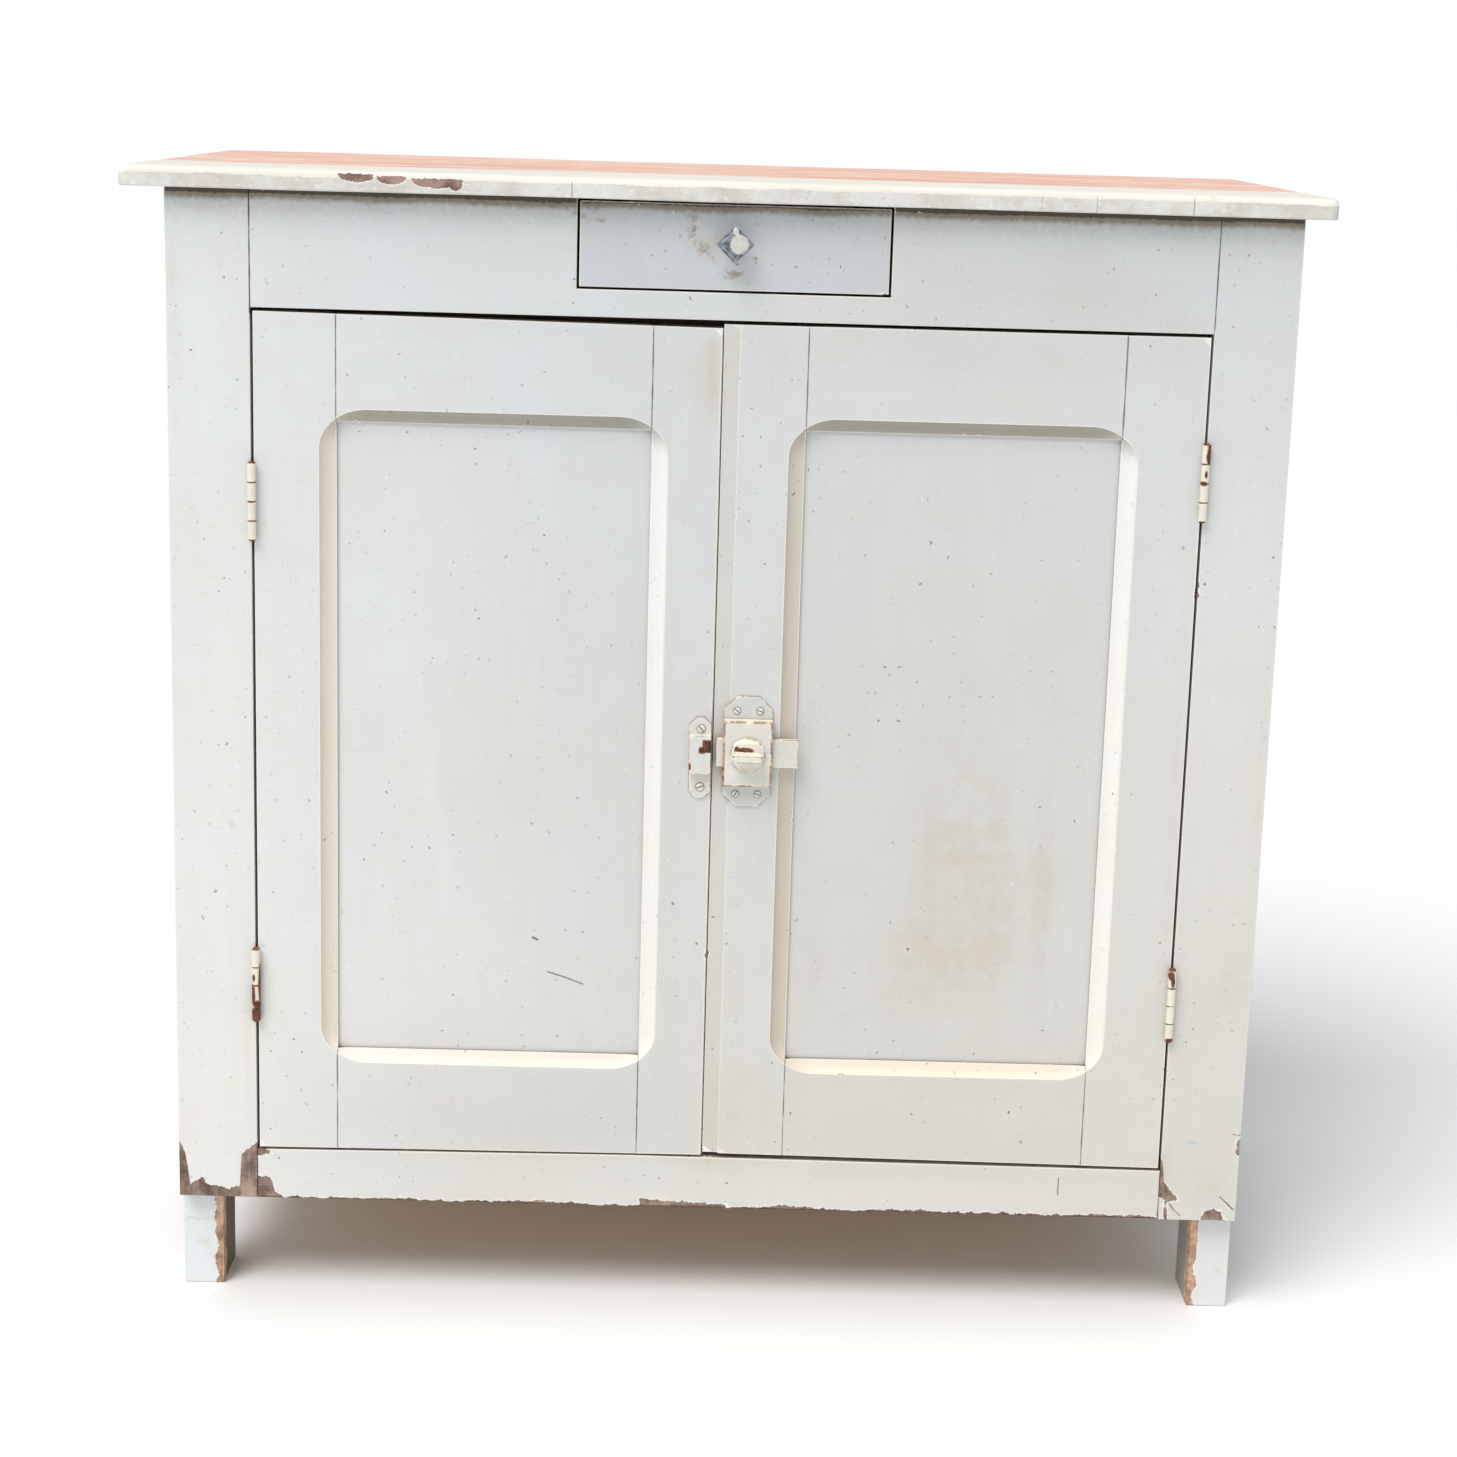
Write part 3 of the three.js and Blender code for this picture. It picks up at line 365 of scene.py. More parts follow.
def top_paint():
    """Salmon paint worn thin along the grain, with a band of cream left along the front and the ends."""
    g = Graph("top_paint")
    place, grain = g.place(), g.value("grain", "Vector")
    strokes = g.drawn_out(grain, (4, 120, 120), 4, 0.6)
    streaks = g.drawn_out(grain, (2.2, 34, 34), 5, 0.65)
    blotch = g.noise(place, 26, detail=6, roughness=0.68)
    coarse, fine = jagged(g, place)
    pink = g.between(streaks, 0.36, 0.62, (236, 170, 146), (247, 208, 188))
    thin = g.add_up(strokes, g.around(blotch, 0.5, 0.8))
    pink = g.over(pink, thin, 0.52, 0.68, 0.85, (250, 232, 216))
    dark = g.drawn_out(grain, (6, 150, 90), 5, 0.7)
    pink = g.over(pink, dark, 0.62, 0.72, 0.45, (168, 108, 90))
    band = g.add_up(g.value("band"), g.around(streaks, 0.5, 120), g.times(coarse, 3))
    cream = g.between(strokes, 0.35, 0.7, (238, 232, 219), (246, 243, 235))
    cream = g.over(cream, blotch, 0.6, 0.72, 0.5, (226, 206, 172))
    colour = g.mix(g.ramp(band, -6, 6), pink, cream)
    grey = g.between(blotch, 0.35, 0.65, (206, 203, 195), (224, 222, 216))
    scale = g.drawn_out(place, (120, 120, 260), 5, 0.7)
    grey = g.over(grey, scale, 0.58, 0.66, 0.55, (190, 184, 172))
    grey = g.over(grey, scale, 0.42, 0.34, 0.6, (246, 244, 238))
    colour = g.mix(g.ramp(g.add_up(g.value("front"), g.times(coarse, 0.5)), -0.4, 0.4), colour, grey)
    colour = g.dyed(colour, g.value("tint", "Color"))
    marks = g.spots(grain, 80, 0.07, 0.12)
    colour = g.mix(g.times(marks, 0.6), colour, srgb(120, 104, 92))
    flaking = flaking_edge(g, place, fine, g.value("edge"), 24, 0.66)
    bare = g.most(g.add_up(g.value("bare"), g.times(coarse, 0.6), fine), flaking)
    colour = g.over(colour, bare, -1.2, -0.4, 0.8, (249, 247, 241))
    bare = g.ramp(bare, -0.15, 0.15)
    timber, fibre = stripped_wood(g, place, grain)
    g.colour(g.mix(bare, colour, g.dyed(timber, (1.05, 0.93, 0.95, 1))))
    g.rough(g.add_up(g.around(strokes, 0.5, 0.3), 0.55))
    relief = g.add_up(g.times(strokes, 0.4), g.times(scale, 0.8), g.times(bare, -0.9), g.times(fibre, 0.1))
    g.bump(relief, 0.0007, 0.8)
    return g.material


def pine(name, light, dark, knots):
    """Unpainted pine: long growth rings, fine pores and, where the mesh asks for it, a painted shade of near
    black.
    """
    g = Graph(name)
    place = g.place()
    grain = g.value("grain", "Vector")
    wander = g.drawn_out(grain, (1.6, 9, 9), 2)
    across = g.add_up(g.times(g.axis(grain, "Y"), 95), g.times(g.axis(grain, "Z"), 60), g.times(wander, 14))
    rings = g.math("FRACT", across)
    ring = g.times(g.ramp(rings, 0.35, 0.9), g.ramp(rings, 0.9, 1.0, 1, 0))
    fibre = g.drawn_out(grain, (22, 700, 700), 4, 0.65)
    colour = g.mix(g.ramp(g.add_up(g.times(ring, 0.7), g.around(fibre, 0.5, 0.7)), 0, 1), light, dark)
    broad = g.noise(place, 5, detail=4)
    colour = g.mix(g.ramp(broad, 0.45, 0.75, 0, knots), colour, srgb(96, 72, 50))
    colour = g.mix(g.ramp(g.value("edge"), 0, 2.5, 0.35, 0), colour, dark)
    # Painted shade: the bare boards just behind the front are painted near black.
    colour = g.over(colour, g.value("grime_and_shade"), 0, 1, 0.97, (36, 28, 24))
    g.colour(colour)
    g.rough(g.ramp(fibre, 0.3, 0.7, 0.62, 0.82))
    g.bump(g.add_up(g.times(fibre, 0.6), g.times(ring, 0.5)), 0.0005, 0.8)
    return g.material


def painted_iron():
    """Iron under many coats of grey and cream paint that lets go along some edges and rusts there."""
    g = Graph("painted_iron")
    place = g.place()
    edge = g.value("edge")
    rusty = g.value("rusty")
    tone = g.noise(place, 70, detail=5)
    lumps = g.noise(place, 170, detail=3)
    fine = g.around(g.noise(place, 700, detail=4, roughness=0.65), 0.5, 1.6)
    patchy = g.around(g.noise(place, 95, detail=6, roughness=0.7), 0.5, 5.0)
    paint = g.between(tone, 0.3, 0.7, (219, 220, 216), (229, 227, 219))
    # The tint paints iron lighter on top and darker underneath, a painted highlight and shade, with each
    # piece's tone.
    paint = g.dyed(paint, g.value("tint", "Color"))
    near_edge = g.math("SUBTRACT", g.add_up(patchy, rusty), g.times(edge, 1.3))
    paint = g.over(paint, near_edge, -0.9, 0.5, 0.6, (196, 168, 140))
    # Cream near every arris: a painted highlight along the bevels, with worn cream paint.
    paint = g.mix(g.ramp(edge, 0.8, 2.2, 0.5, 0), paint, srgb(250, 243, 228))
    broken = g.noise(g.shifted(place, (3, 1, 2)), 120, detail=5, roughness=0.7)
    outline = g.times(g.ramp(edge, 0.4, 1.05, 1, 0), g.ramp(broken, 0.44, 0.52, 0, 0.85))
    paint = g.mix(outline, paint, srgb(136, 98, 78))
    seam = g.add_up(g.value("seam"), g.times(patchy, 0.2))
    paint = g.mix(g.ramp(seam, 0.3, 1.0, 0.8, 0), paint, srgb(120, 88, 66))
    stripped = g.add_up(near_edge, fine, -0.3)
    bare = g.most(g.add_up(g.value("bare"), g.times(patchy, 0.45), fine), stripped)
    paint = g.over(paint, bare, -0.9, -0.1, 0.7, (214, 158, 104))
    bare = g.ramp(bare, -0.1, 0.15)
    rust = g.between(lumps, 0.35, 0.65, (78, 44, 38), (122, 74, 56))
    g.colour(g.mix(bare, paint, rust))
    g.rough(g.mix(bare, (0.42, 0.42, 0.42, 1), (0.85, 0.85, 0.85, 1)))
    g.bump(g.add_up(g.times(lumps, 0.9), g.times(bare, -0.7), g.times(fine, 0.08)), 0.0004, 0.8)
    return g.material


def rusty_steel():
    g = Graph("rusty_steel")
    place = g.place()
    patches = g.noise(place, 160, detail=5, roughness=0.65)
    grit = g.noise(place, 900, detail=3)
    colour = g.between(patches, 0.35, 0.65, (74, 52, 44), (140, 92, 66))
    colour = g.mix(g.ramp(patches, 0.6, 0.72), colour, srgb(196, 186, 168))
    g.colour(colour)
    g.shader.inputs["Metallic"].default_value = 0.25
    g.rough(g.ramp(grit, 0.3, 0.7, 0.55, 0.85))
    g.bump(g.add_up(grit, patches), 0.0003, 0.7)
    return g.material


def zinc():
    """Dull blue-grey metal with one big flake of cream paint left on its face."""
    g = Graph("zinc")
    place = g.place()
    tone = g.noise(place, 210, detail=5, roughness=0.65)
    fine = g.around(g.noise(place, 500, detail=5, roughness=0.65), 0.5, 5)
    flake = g.ramp(g.add_up(g.value("bare"), fine), -0.25, 0.25)
    metal = g.between(tone, 0.4, 0.62, (88, 92, 100), (148, 152, 160))
    colour = g.mix(flake, metal, g.between(tone, 0.3, 0.7, (214, 212, 204), (198, 196, 188)))
    colour = g.mix(g.ramp(g.value("edge"), 0, 0.9, 0.6, 0), colour, srgb(190, 196, 202))
    g.colour(colour)
    g.put(g.shader.inputs["Metallic"], g.ramp(flake, 0, 1, 0.35, 0))
    g.rough(g.ramp(tone, 0.3, 0.7, 0.4, 0.6))
    g.bump(g.add_up(g.times(tone, 0.5), flake), 0.0004, 0.7)
    return g.material


# ---------------------------------------------------------------- wear, by place on the front

FAR = -60.0  # millimetres: nothing worn anywhere near
KNUCKLE_RADIUS = 5.0


def inside(x, z, x0, x1, z0, z1):
    """How far a point is inside a box on the front, in millimetres (negative outside)."""
    return np.minimum(np.minimum(x - x0, x1 - x), np.minimum(z - z0, z1 - z))


def round_spot(x, z, cx, cz, rx, rz):
    return (1 - np.hypot((x - cx) / rx, (z - cz) / rz)) * min(rx, rz)


def ragged(values, scale, size):
    """One-dimensional noise along an edge, in millimetres."""
    return np.array([noise.noise(Vector((v * scale, 3.7, 1.3))) for v in values]) * size


def under_line(x, z, corners):
    """How far below a zigzag line a point is. corners are its (x, z) places, from left to right."""
    return np.interp(x, [c[0] for c in corners], [c[1] for c in corners]) - z


def chips_left_stile(x, y, z):
    """The foot of the left stile has lost its paint in a ragged U: both edges and the bottom."""
    line = ((-514, 160), (-509, 149), (-505.5, 138), (-504.5, 112), (-490, 120), (-487, 113))
    line += ((-468, 109), (-454, 111), (-452.5, 146), (-444, 152), (-437, 158))
    return under_line(x, z, line)


def hanging(x, z, x0, x1, top, drop):
    """A flake with a level upper edge and a bowed lower one."""
    share = np.clip(1 - ((x - (x0 + x1) / 2) / ((x1 - x0) / 2)) ** 2, 0, 1)
    return np.minimum(np.minimum(x - x0, x1 - x), np.minimum(top - z, z - top + drop * np.sqrt(share)))


def chips_right_stile(x, y, z):
    """A long flake beside the rail, a crack under it, and a half-round chip over the leg."""
    line = ((449, 163), (451.5, 160), (453, 140), (459, 133), (468, 122))
    over_line = under_line(-x, -z, ((-468, -121), (-460, -118), (-449, -124)))
    flake = np.minimum.reduce([under_line(x, z, line), over_line, 467 - x])
    strip = np.minimum(458.5 - x, np.minimum(x - 454.5, 121 - z))
    halfround = round_spot(x, z, 503, 101, 11, 11)
    corner = inside(x, z, 508, 516, 90, 102)
    slip = round_spot(x, z, 525, 178, 3, 7)
    return np.maximum.reduce([flake, strip - 0.5, halfround, corner, slip])


def chips_bottom_rail(x, y, z):
    """Thin flakes all along the lower edge, one long chip in the middle, and the worn left end."""
    edge = FRAME_BOTTOM / MM + 2.3 + ragged(x, 0.021, 2.4) + ragged(x, 0.11, 2.4) - z
    long_chip = inside(x, z, -62, 24, 80, 108.5 - (x + 60) * 0.05)
    second = inside(x, z, 76, 140, 80, 105.2 - (x - 76) * 0.06)
    line = ((-438, 124), (-430, 122), (-424, 121), (-421, 113), (-423.5, 108), (-411, 101), (-404, 90))
    left_end = under_line(x, z, line)
    top_corner = under_line(x, z, ((-438, 160), (-437.9, 158), (-437, 157), (-425, 150), (-424, 90)))
    top_corner = np.minimum(top_corner, z - (144 + (x + 436) * 0.3))
    return np.maximum.reduce([edge, left_end, long_chip, second, top_corner])


def chips_top(x, y, z):
    """Three flakes on the front edge of the top, left of the drawer."""
    total = hanging(x, z, -353, -320, 1096.6, 7.5)
    for x0, x1, top, drop in ((-319, -291, 1095.4, 7.5), (-288, -240, 1094.2, 8.5), (-254, -241, 1090, 6)):
        total = np.maximum(total, hanging(x, z, x0, x1, top, drop))
    return np.where(y < TOP_FRONT / MM + 6, total, FAR)


def chips_leg(inner_edge, towards):
    """The inner front arris of a front leg, worn back to old coats and wood."""

    def field(x, y, z):
        across = towards * (inner_edge - x)
        back = y - FRONT / MM - 18
        reach = 7 + ragged(z, 0.07, 4.5)
        worn = np.where(back < 0.7, reach - across, np.where(across < 3, reach + 3 - back, FAR))
        return np.where(z < FRAME_BOTTOM / MM, worn, FAR)

    return field


def chips_drawer(x, y, z):
    return np.maximum(round_spot(x, z, 150.5, 997, 13, 3.6), inside(x, z, 145, 152, 985, 1001))


def bare_keeper(x, y, z):
    """Dark rust where the bolt rubs: the box's upper right, and a drop of it in the middle."""
    right, top = (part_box("keeper")[1].x / MM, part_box("latch_bolt")[1].z / MM + 3)
    patch = inside(x, z, right - 8, right + 2, top - 17, top - 5)
    drop = inside(x, z, right - 11.5, right - 6, top - 18, top - 12)
    foot = round_spot(x, z, right - 20.5, top - 31, 2.5, 5) - 0.6
    return np.where(y < FRONT / MM - 3, np.maximum.reduce([patch, drop, foot]), FAR)


def middle_of(node):
    """A node's middle on the front, in millimetres."""
    low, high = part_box(node)
    return (low.x + high.x) / 2 / MM, (low.z + high.z) / 2 / MM


def bare_knob(x, y, z):
    """Rust on the dome above the grip, left of the middle."""
    cx, cz = middle_of("latch_knob")
    patch = round_spot(x, z, cx - 3, cz + 5, 9, 3.2)
    tail = round_spot(x, z, cx - 10.5, cz + 5.5, 2.4, 4)
    return np.where(z > cz + 3.3, np.maximum(patch, tail), FAR)


def bare_hinge(spots):
    """Rust on a hinge. A spot is across, up, half-width and half-height, in radii and in heights."""

    def field(x, y, z, box, pin):
        middle = (pin[0].x + pin[1].x) / 2 / MM
        u = (x - middle) / KNUCKLE_RADIUS
        v = (z - box[0].z / MM) / ((box[1].z - box[0].z) / MM)
        rust = [(1 - np.hypot((u - cu) / ru, (v - cv) / rv)) * 2.4 for cu, cv, ru, rv in spots]
        return np.maximum.reduce(rust)

    return field


def flake_knob(x, y, z):
    """The flake of paint on the drawer knob's face: its middle, top and upper right."""
    cx, cz = middle_of("drawer_knob")
    middle = round_spot(x, z, cx + 4, cz + 0.5, 8.6, 9)
    top = round_spot(x, z, cx + 0.5, cz + 12.5, 3, 3.4)
    return np.where(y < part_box("drawer_knob")[0].y / MM + 3, np.maximum(middle, top), FAR)


# Thin scratches and cracks on a board's front: both ends and the half-width.
SCRATCHES = {
    "left_door_panel": [
        (-156, 337.4, -139, 332.2, 0.8), (-139, 332.2, -122, 325.8, 0.8), (-171, 372, -166.5, 369.8, 1.2),
    ],
    "face_stile_right": [
        (460, 117.5, 464, 111, 0.8), (464, 111, 471.5, 104.5, 0.6), (509, 125.6, 516, 119.5, 0.7),
        (516, 119.5, 523, 112.4, 0.9), (518, 191, 525, 190.3, 0.6), (456.5, 112, 457.5, 101, 1.0),
    ],
    "bottom_rail": [(349.5, 123, 349.2, 141, 0.7)],
}


def scratches(node, x, z):
    """How far inside its scratches each point of a board is, in millimetres."""
    best = np.full(len(x), -5.0)
    for x0, z0, x1, z1, half in SCRATCHES.get(node, ()):
        run, rise = x1 - x0, z1 - z0
        share = np.clip(((x - x0) * run + (z - z0) * rise) / (run**2 + rise**2), 0, 1)
        best = np.maximum(best, half - np.hypot(x - x0 - share * run, z - z0 - share * rise))
    return best


# Stains: middle x and z, half-widths, and strength, in millimetres on the front. Below 0 they are paler.
STAINS = [
    (218, 500, 34, 110, 0.36), (278, 452, 36, 120, 0.34), (240, 420, 56, 90, 0.3),
    (322, 430, 12, 110, 0.36), (214, 352, 80, 50, 0.34), (110, 330, 40, 60, 0.2), (255, 610, 26, 90, 0.16),
    (90, 470, 14, 130, 0.16), (-9, 922, 5, 32, 0.6), (-20, 905, 26, 46, 0.3), (-8, 750, 4, 60, 0.4),
    (291, 905, 16, 34, 0.34), (303, 945, 12, 12, 0.4), (96, 944, 24, 18, 0.3), (60, 675, 20, 80, 0.25),
    (64, 540, 14, 60, 0.3), (47, 418, 12, 90, 0.4), (26, 327, 10, 110, 0.34), (-150, 330, 130, 60, 0.12),
    (20, 200, 30, 90, 0.2), (-505, 940, 8, 60, 0.5), (-508, 1010, 6, 34, 0.4), (500, 350, 22, 46, 0.42),
    (506, 140, 24, 50, 0.36), (470, 128, 20, 28, 0.4), (452, 160, 8, 26, 0.5), (519, 560, 5, 210, 0.3),
    (-478, 905, 7, 9, 0.3), (2, 1036, 40, 20, 0.4), (-22, 1040, 22, 14, 0.3), (6, 1006, 120, 6, 0.34),
    (330, 1002, 60, 26, 0.24), (252, 1010, 30, 30, 0.2), (-60, 925, 60, 20, 0.24), (-458, 479, 3.4, 4, 1.2),
    (-416.5, 196, 4, 4, 1.2), (-330, 146, 90, 5, 0.3), (200, 140, 160, 8, 0.3), (-240, 960, 120, 6, 0.26),
    (420, 960, 26, 40, 0.24), (-445, 300, 5, 150, 0.3), (-270, 520, 9, 60, -0.13),
    (-256, 430, 8, 60, -0.13), (4, 760, 2.5, 190, 0.5), (4, 300, 2.5, 170, 0.5), (-40, 150, 240, 3, 0.5),
    (120, 959, 60, 3, 0.4), (439, 600, 2.5, 300, 0.3), (-25, 570, 14, 30, 0.3), (-502, 180, 14, 40, 0.3),
    (-494, 44, 8, 6, 0.7), (-484, 30, 7, 14, 0.7), (516, 40, 5, 6, 0.7), (-400, 955, 30, 5, 0.2),
    (503, 900, 6, 60, 0.2), (-28, 950, 40, 8, 0.24),
]
# Grime that breaks up into mottles, the same way.
GRIME = [
    (-33, 1052, 6, 9, 0.85), (-23, 1038, 10, 7, 0.85), (-12, 1029, 7, 5, 0.6), (4, 1015, 13, 6, 1.0),
    (25, 1030, 4, 4, 1.0), (-139, 1067, 5, 4, 0.9), (-131, 1062, 5, 4, 0.8), (-116, 1060, 5, 4, 0.8),
    (-33, 1066, 12, 5, 0.7), (-9, 925, 3, 22, 0.4), (45, 700, 4, 12, 0.3), (36, 500, 8, 16, 0.3),
    (25, 330, 5, 40, 0.3), (-436, 151, 6, 5, 0.4), (452, 155, 4, 14, 0.5), (150, 1000, 8, 6, 0.6),
    (240, 420, 70, 60, 0.16), (-100, 960, 90, 4, 0.2), (-190, 210, 160, 4, 0.3), (200, 200, 150, 4, 0.3),
    (18, 290, 4, 160, 0.24), (-434, 445, 6, 26, 0.5), (456, 430, 5, 24, 0.34), (455, 790, 4, 20, 0.3),
]


def cloud(x, z, patches):
    """Sum of soft patches."""
    total = np.zeros(len(x))
    for cx, cz, rx, rz, strength in patches:
        total += strength * np.exp(-(((x - cx) / rx) ** 2) - ((z - cz) / rz) ** 2)
    return total


BARE = {
    "face_stile_left": chips_left_stile,
    "face_stile_right": chips_right_stile,
    "bottom_rail": chips_bottom_rail,
    "top_board": chips_top,
    "front_post_left": chips_leg(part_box("front_post_left")[1].x / MM, 1),
    "front_post_right": chips_leg(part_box("front_post_right")[0].x / MM, -1),
    "drawer_front": chips_drawer,
    "keeper": bare_keeper,
    "latch_knob": bare_knob,
    "drawer_knob": flake_knob,
}
# Hinges that rust has spread over, and where on them.
RUSTY_HINGES = {
    "right_upper": bare_hinge(((0.55, 0.88, 0.6, 0.13), (0.1, 0.62, 0.3, 0.05), (-0.2, 0.5, 0.6, 0.03))),
    "left_lower": bare_hinge((
        (1.0, 0.5, 0.45, 0.3), (-0.6, 0.37, 0.55, 0.13), (0.1, 0.08, 1.3, 0.13), (0.4, 0.24, 1.1, 0.05),
        (-0.35, 0.61, 0.3, 0.05),
    )),
    "right_lower": bare_hinge(((-0.3, 0.93, 0.6, 0.06), (0.1, 0.84, 0.35, 0.07), (0.1, 0.02, 0.9, 0.03))),
}
# Patches of the front painted lighter (above 0) or darker, in the same way: painted light and shade.
GLOW = [
    (-520, 500, 190, 800, 0.17), (-290, 700, 120, 260, 0.05), (-250, 330, 130, 120, 0.06),
    (490, 650, 60, 260, 0.06), (0, 116, 420, 26, 0.07), (330, 1010, 200, 60, -0.07),
    (-480, 200, 60, 160, 0.04), (-180, 200, 160, 50, -0.05), (-80, 620, 50, 500, -0.02),
    (210, 940, 200, 30, -0.02), (200, 500, 170, 300, -0.01),
]
# How far each board's and each iron piece's paint is from the usual colour; the drawer front's darker, bluer
# tone is painted shade under the top.
BODY_TONE = {
    "drawer_front": (0.88, 0.90, 0.93), "right_door_bottom_rail": (1.0, 0.975, 0.94),
    "front_post_left": (1.15, 1.23, 1.32), "front_post_right": (1.13, 1.16, 1.26),
    "face_stile_left": (1.01, 1.01, 1.0), "right_door_panel": (0.98, 0.98, 0.98),
}
IRON_TONE = {
    "latch_plate": (0.84, 0.86, 0.88), "latch_case": (0.97, 0.95, 0.92), "keeper": (0.93, 0.93, 0.93),
    "latch_bolt": (0.92, 0.9, 0.87), "latch_knob": (1.02, 0.99, 0.94),
}


# ---------------------------------------------------------------- making a worn piece from a node

node_trees = {
    name: BVHTree.FromPolygons([v.co for v in o.data.vertices], [p.vertices for p in o.data.polygons])
    for name, o in nodes.items()
}
node_boxes = {name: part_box(name) for name in nodes}
TOUCH = 0.5 * MM
EDGE_STEP = 20 * MM  # an edge is sorted into free arrises and joints in steps of this length
FLAT_ANGLE = math.radians(28)
PAINTED = ("grey_paint", "top_paint")


def neighbours(node):
    """The trees of the nodes of the same body whose boxes meet this node's."""
    low, high = node_boxes[node]
    found = []
    for other, (other_low, other_high) in node_boxes.items():
        if other == node or body_of[other] != body_of[node]:
            continue
        if all(low[i] - TOUCH < other_high[i] and other_low[i] - TOUCH < high[i] for i in range(3)):
            found.append(node_trees[other])
    return found


def clean_mesh(node):
    """The node's mesh with shared corners and whole flat faces."""
    bm = bmesh.new()
    bm.from_mesh(nodes[node].data)
    bmesh.ops.remove_doubles(bm, verts=bm.verts, dist=1e-6)
    bmesh.ops.dissolve_limit(bm, angle_limit=math.radians(0.6), verts=bm.verts, edges=bm.edges)
    return bm


def is_joint(point, around):
    """Whether a point lies against one of the neighbouring pieces."""
    return any(tree.find_nearest(point, TOUCH)[0] is not None for tree in around)


def round_edges(node, bm, radius, joint_radius, segments):
    """Rounds every arris, joints less. Returns the piece, its free arrises and its joints."""
    around = neighbours(node)
    weights = {}
    free, joints = [], []
    for edge in bm.edges:
        if len(edge.link_faces) != 2 or edge.calc_face_angle(0) < FLAT_ANGLE or not edge.is_convex:
            continue
        start, end = edge.verts[0].co.copy(), edge.verts[1].co.copy()
        weights[edge.index] = joint_radius / radius if is_joint(start.lerp(end, 0.5), around) else 1.0
        steps = max(1, round((end - start).length / EDGE_STEP))
        stops = [start.lerp(end, k / steps) for k in range(steps + 1)]
        for a, b in zip(stops, stops[1:]):
            (joints if is_joint((a + b) / 2, around) else free).append((a, b))
    mesh = bpy.data.meshes.new(node)
    bm.to_mesh(mesh)
    bm.free()
    marks = mesh.attributes.new("bevel_weight_edge", "FLOAT", "EDGE")
    for index, weight in weights.items():
        marks.data[index].value = weight
    piece = placed(f"worn_{node}", mesh)
    bevel = piece.modifiers.new("arris", "BEVEL")
    bevel.limit_method = "WEIGHT"
    bevel.width = radius
    bevel.segments = segments
    bevel.use_clamp_overlap = True
    bevel.loop_slide = False
    bpy.context.view_layer.update()
    shaped = bpy.data.meshes.new_from_object(piece.evaluated_get(bpy.context.evaluated_depsgraph_get()))
    piece.modifiers.clear()
    piece.data = shaped
    shaped.name = piece.name
    return piece, free, joints


def spread(low, high, pitch):
    """Evenly spaced cuts between two places, about pitch apart."""
    count = max(1, round((high - low) / pitch))
    return [low + (high - low) * i / count for i in range(1, count)]


def cut_grid(bm, cuts):
    """Cuts the faces along planes, so that they can carry wear. cuts is a list of places for each axis."""
    for axis, places in enumerate(cuts):
        normal = [0, 0, 0]
        normal[axis] = 1
        for place in places:
            point = [0, 0, 0]
            point[axis] = place
            everything = bm.verts[:] + bm.edges[:] + bm.faces[:]
            bmesh.ops.bisect_plane(bm, geom=everything, dist=1e-6, plane_co=point, plane_no=normal)


def triples(data, field):
    """A mesh's vectors as rows of three numbers."""
    flat = np.empty(len(data) * 3, np.float32)
    data.foreach_get(field, flat)
    return flat.reshape(-1, 3).astype(float)


def edge_distance(points, segments, limit=40 * MM):
    """Millimetres from each point to the nearest of the segments."""
    best = np.full(len(points), limit)
    for a, b in segments:
        start = np.array(a)
        along = np.array(b) - start
        share = np.clip((points - start) @ along / max(along @ along, 1e-12), 0, 1)
        gap = np.linalg.norm(points - start - share[:, None] * along, axis=1)
        best = np.minimum(best, gap)
    return best / MM


def put_attribute(mesh, name, values, kind="FLOAT", domain="POINT"):
    field = {"FLOAT": "value", "FLOAT_COLOR": "color", "FLOAT_VECTOR": "vector"}[kind]
    made = mesh.attributes.new(name, kind, domain)
    made.data.foreach_set(field, np.ascontiguousarray(values, np.float32).ravel())


def grain_of(node, points):
    """Each board's own coordinates: along its length first, then across, from a place of its own."""
    low, high = node_boxes[node]
    size = np.array(high - low)
    order = np.argsort(-size, kind="stable")
    seed = zlib.crc32(node.encode()) % 997
    return points[:, order] + np.array([seed * 0.37, seed * 0.11, seed * 0.23])


def lumpy(points, scale, size, seed):
    """Soft unevenness, from -size to 0."""
    offset = Vector((seed, seed * 0.7, seed * 1.3))
    rough = np.array([noise.noise(Vector(p) * scale + offset) for p in points])
    return -size * (0.5 + 0.5 * np.clip(rough, -1, 1))


# Painted light and shade, with some dirt, in the coves round the panels, by the side of the panel that each
# one is on: top coves dark, bottom and right ones light.
COVES = {
    "top": (0.56, 0.52, 0.45), "bottom": (1.34, 1.24, 1.13),
    "left": (1.03, 0.93, 0.80), "right": (1.28, 1.26, 1.22),
}
USUAL_SIDE = {"hinge_stile": (1, 0), "lock_stile": (-1, 0), "top_rail": (0, -1), "bottom_rail": (0, 1)}
FRONT_BOARDS = ("face_stile_left", "face_stile_right", "apron_rail", "bottom_rail", "drawer_front")


def cove_tint(n, usual, flip):
    """A cove's painted light and shade from the side that it faces, or its usual side where it is flat."""
    side = Vector((n.x, n.z))
    if side.length < 0.2:
        side = Vector((usual[0] * flip, usual[1]))
    side.normalize()
    shares = {"top": -side.y, "bottom": side.y, "left": side.x, "right": -side.x}
    shares = {place: max(0, share) for place, share in shares.items()}
    total = sum(share**2 for share in shares.values())
    tint = [sum(COVES[k][channel] * share**2 for k, share in shares.items()) / total for channel in range(3)]
    # On the right door the coves on the left of a panel get a little more painted shade.
    dim = 1 - 0.09 * shares["left"] if flip < 0 else 1
    return np.array(tint, np.float32) * dim


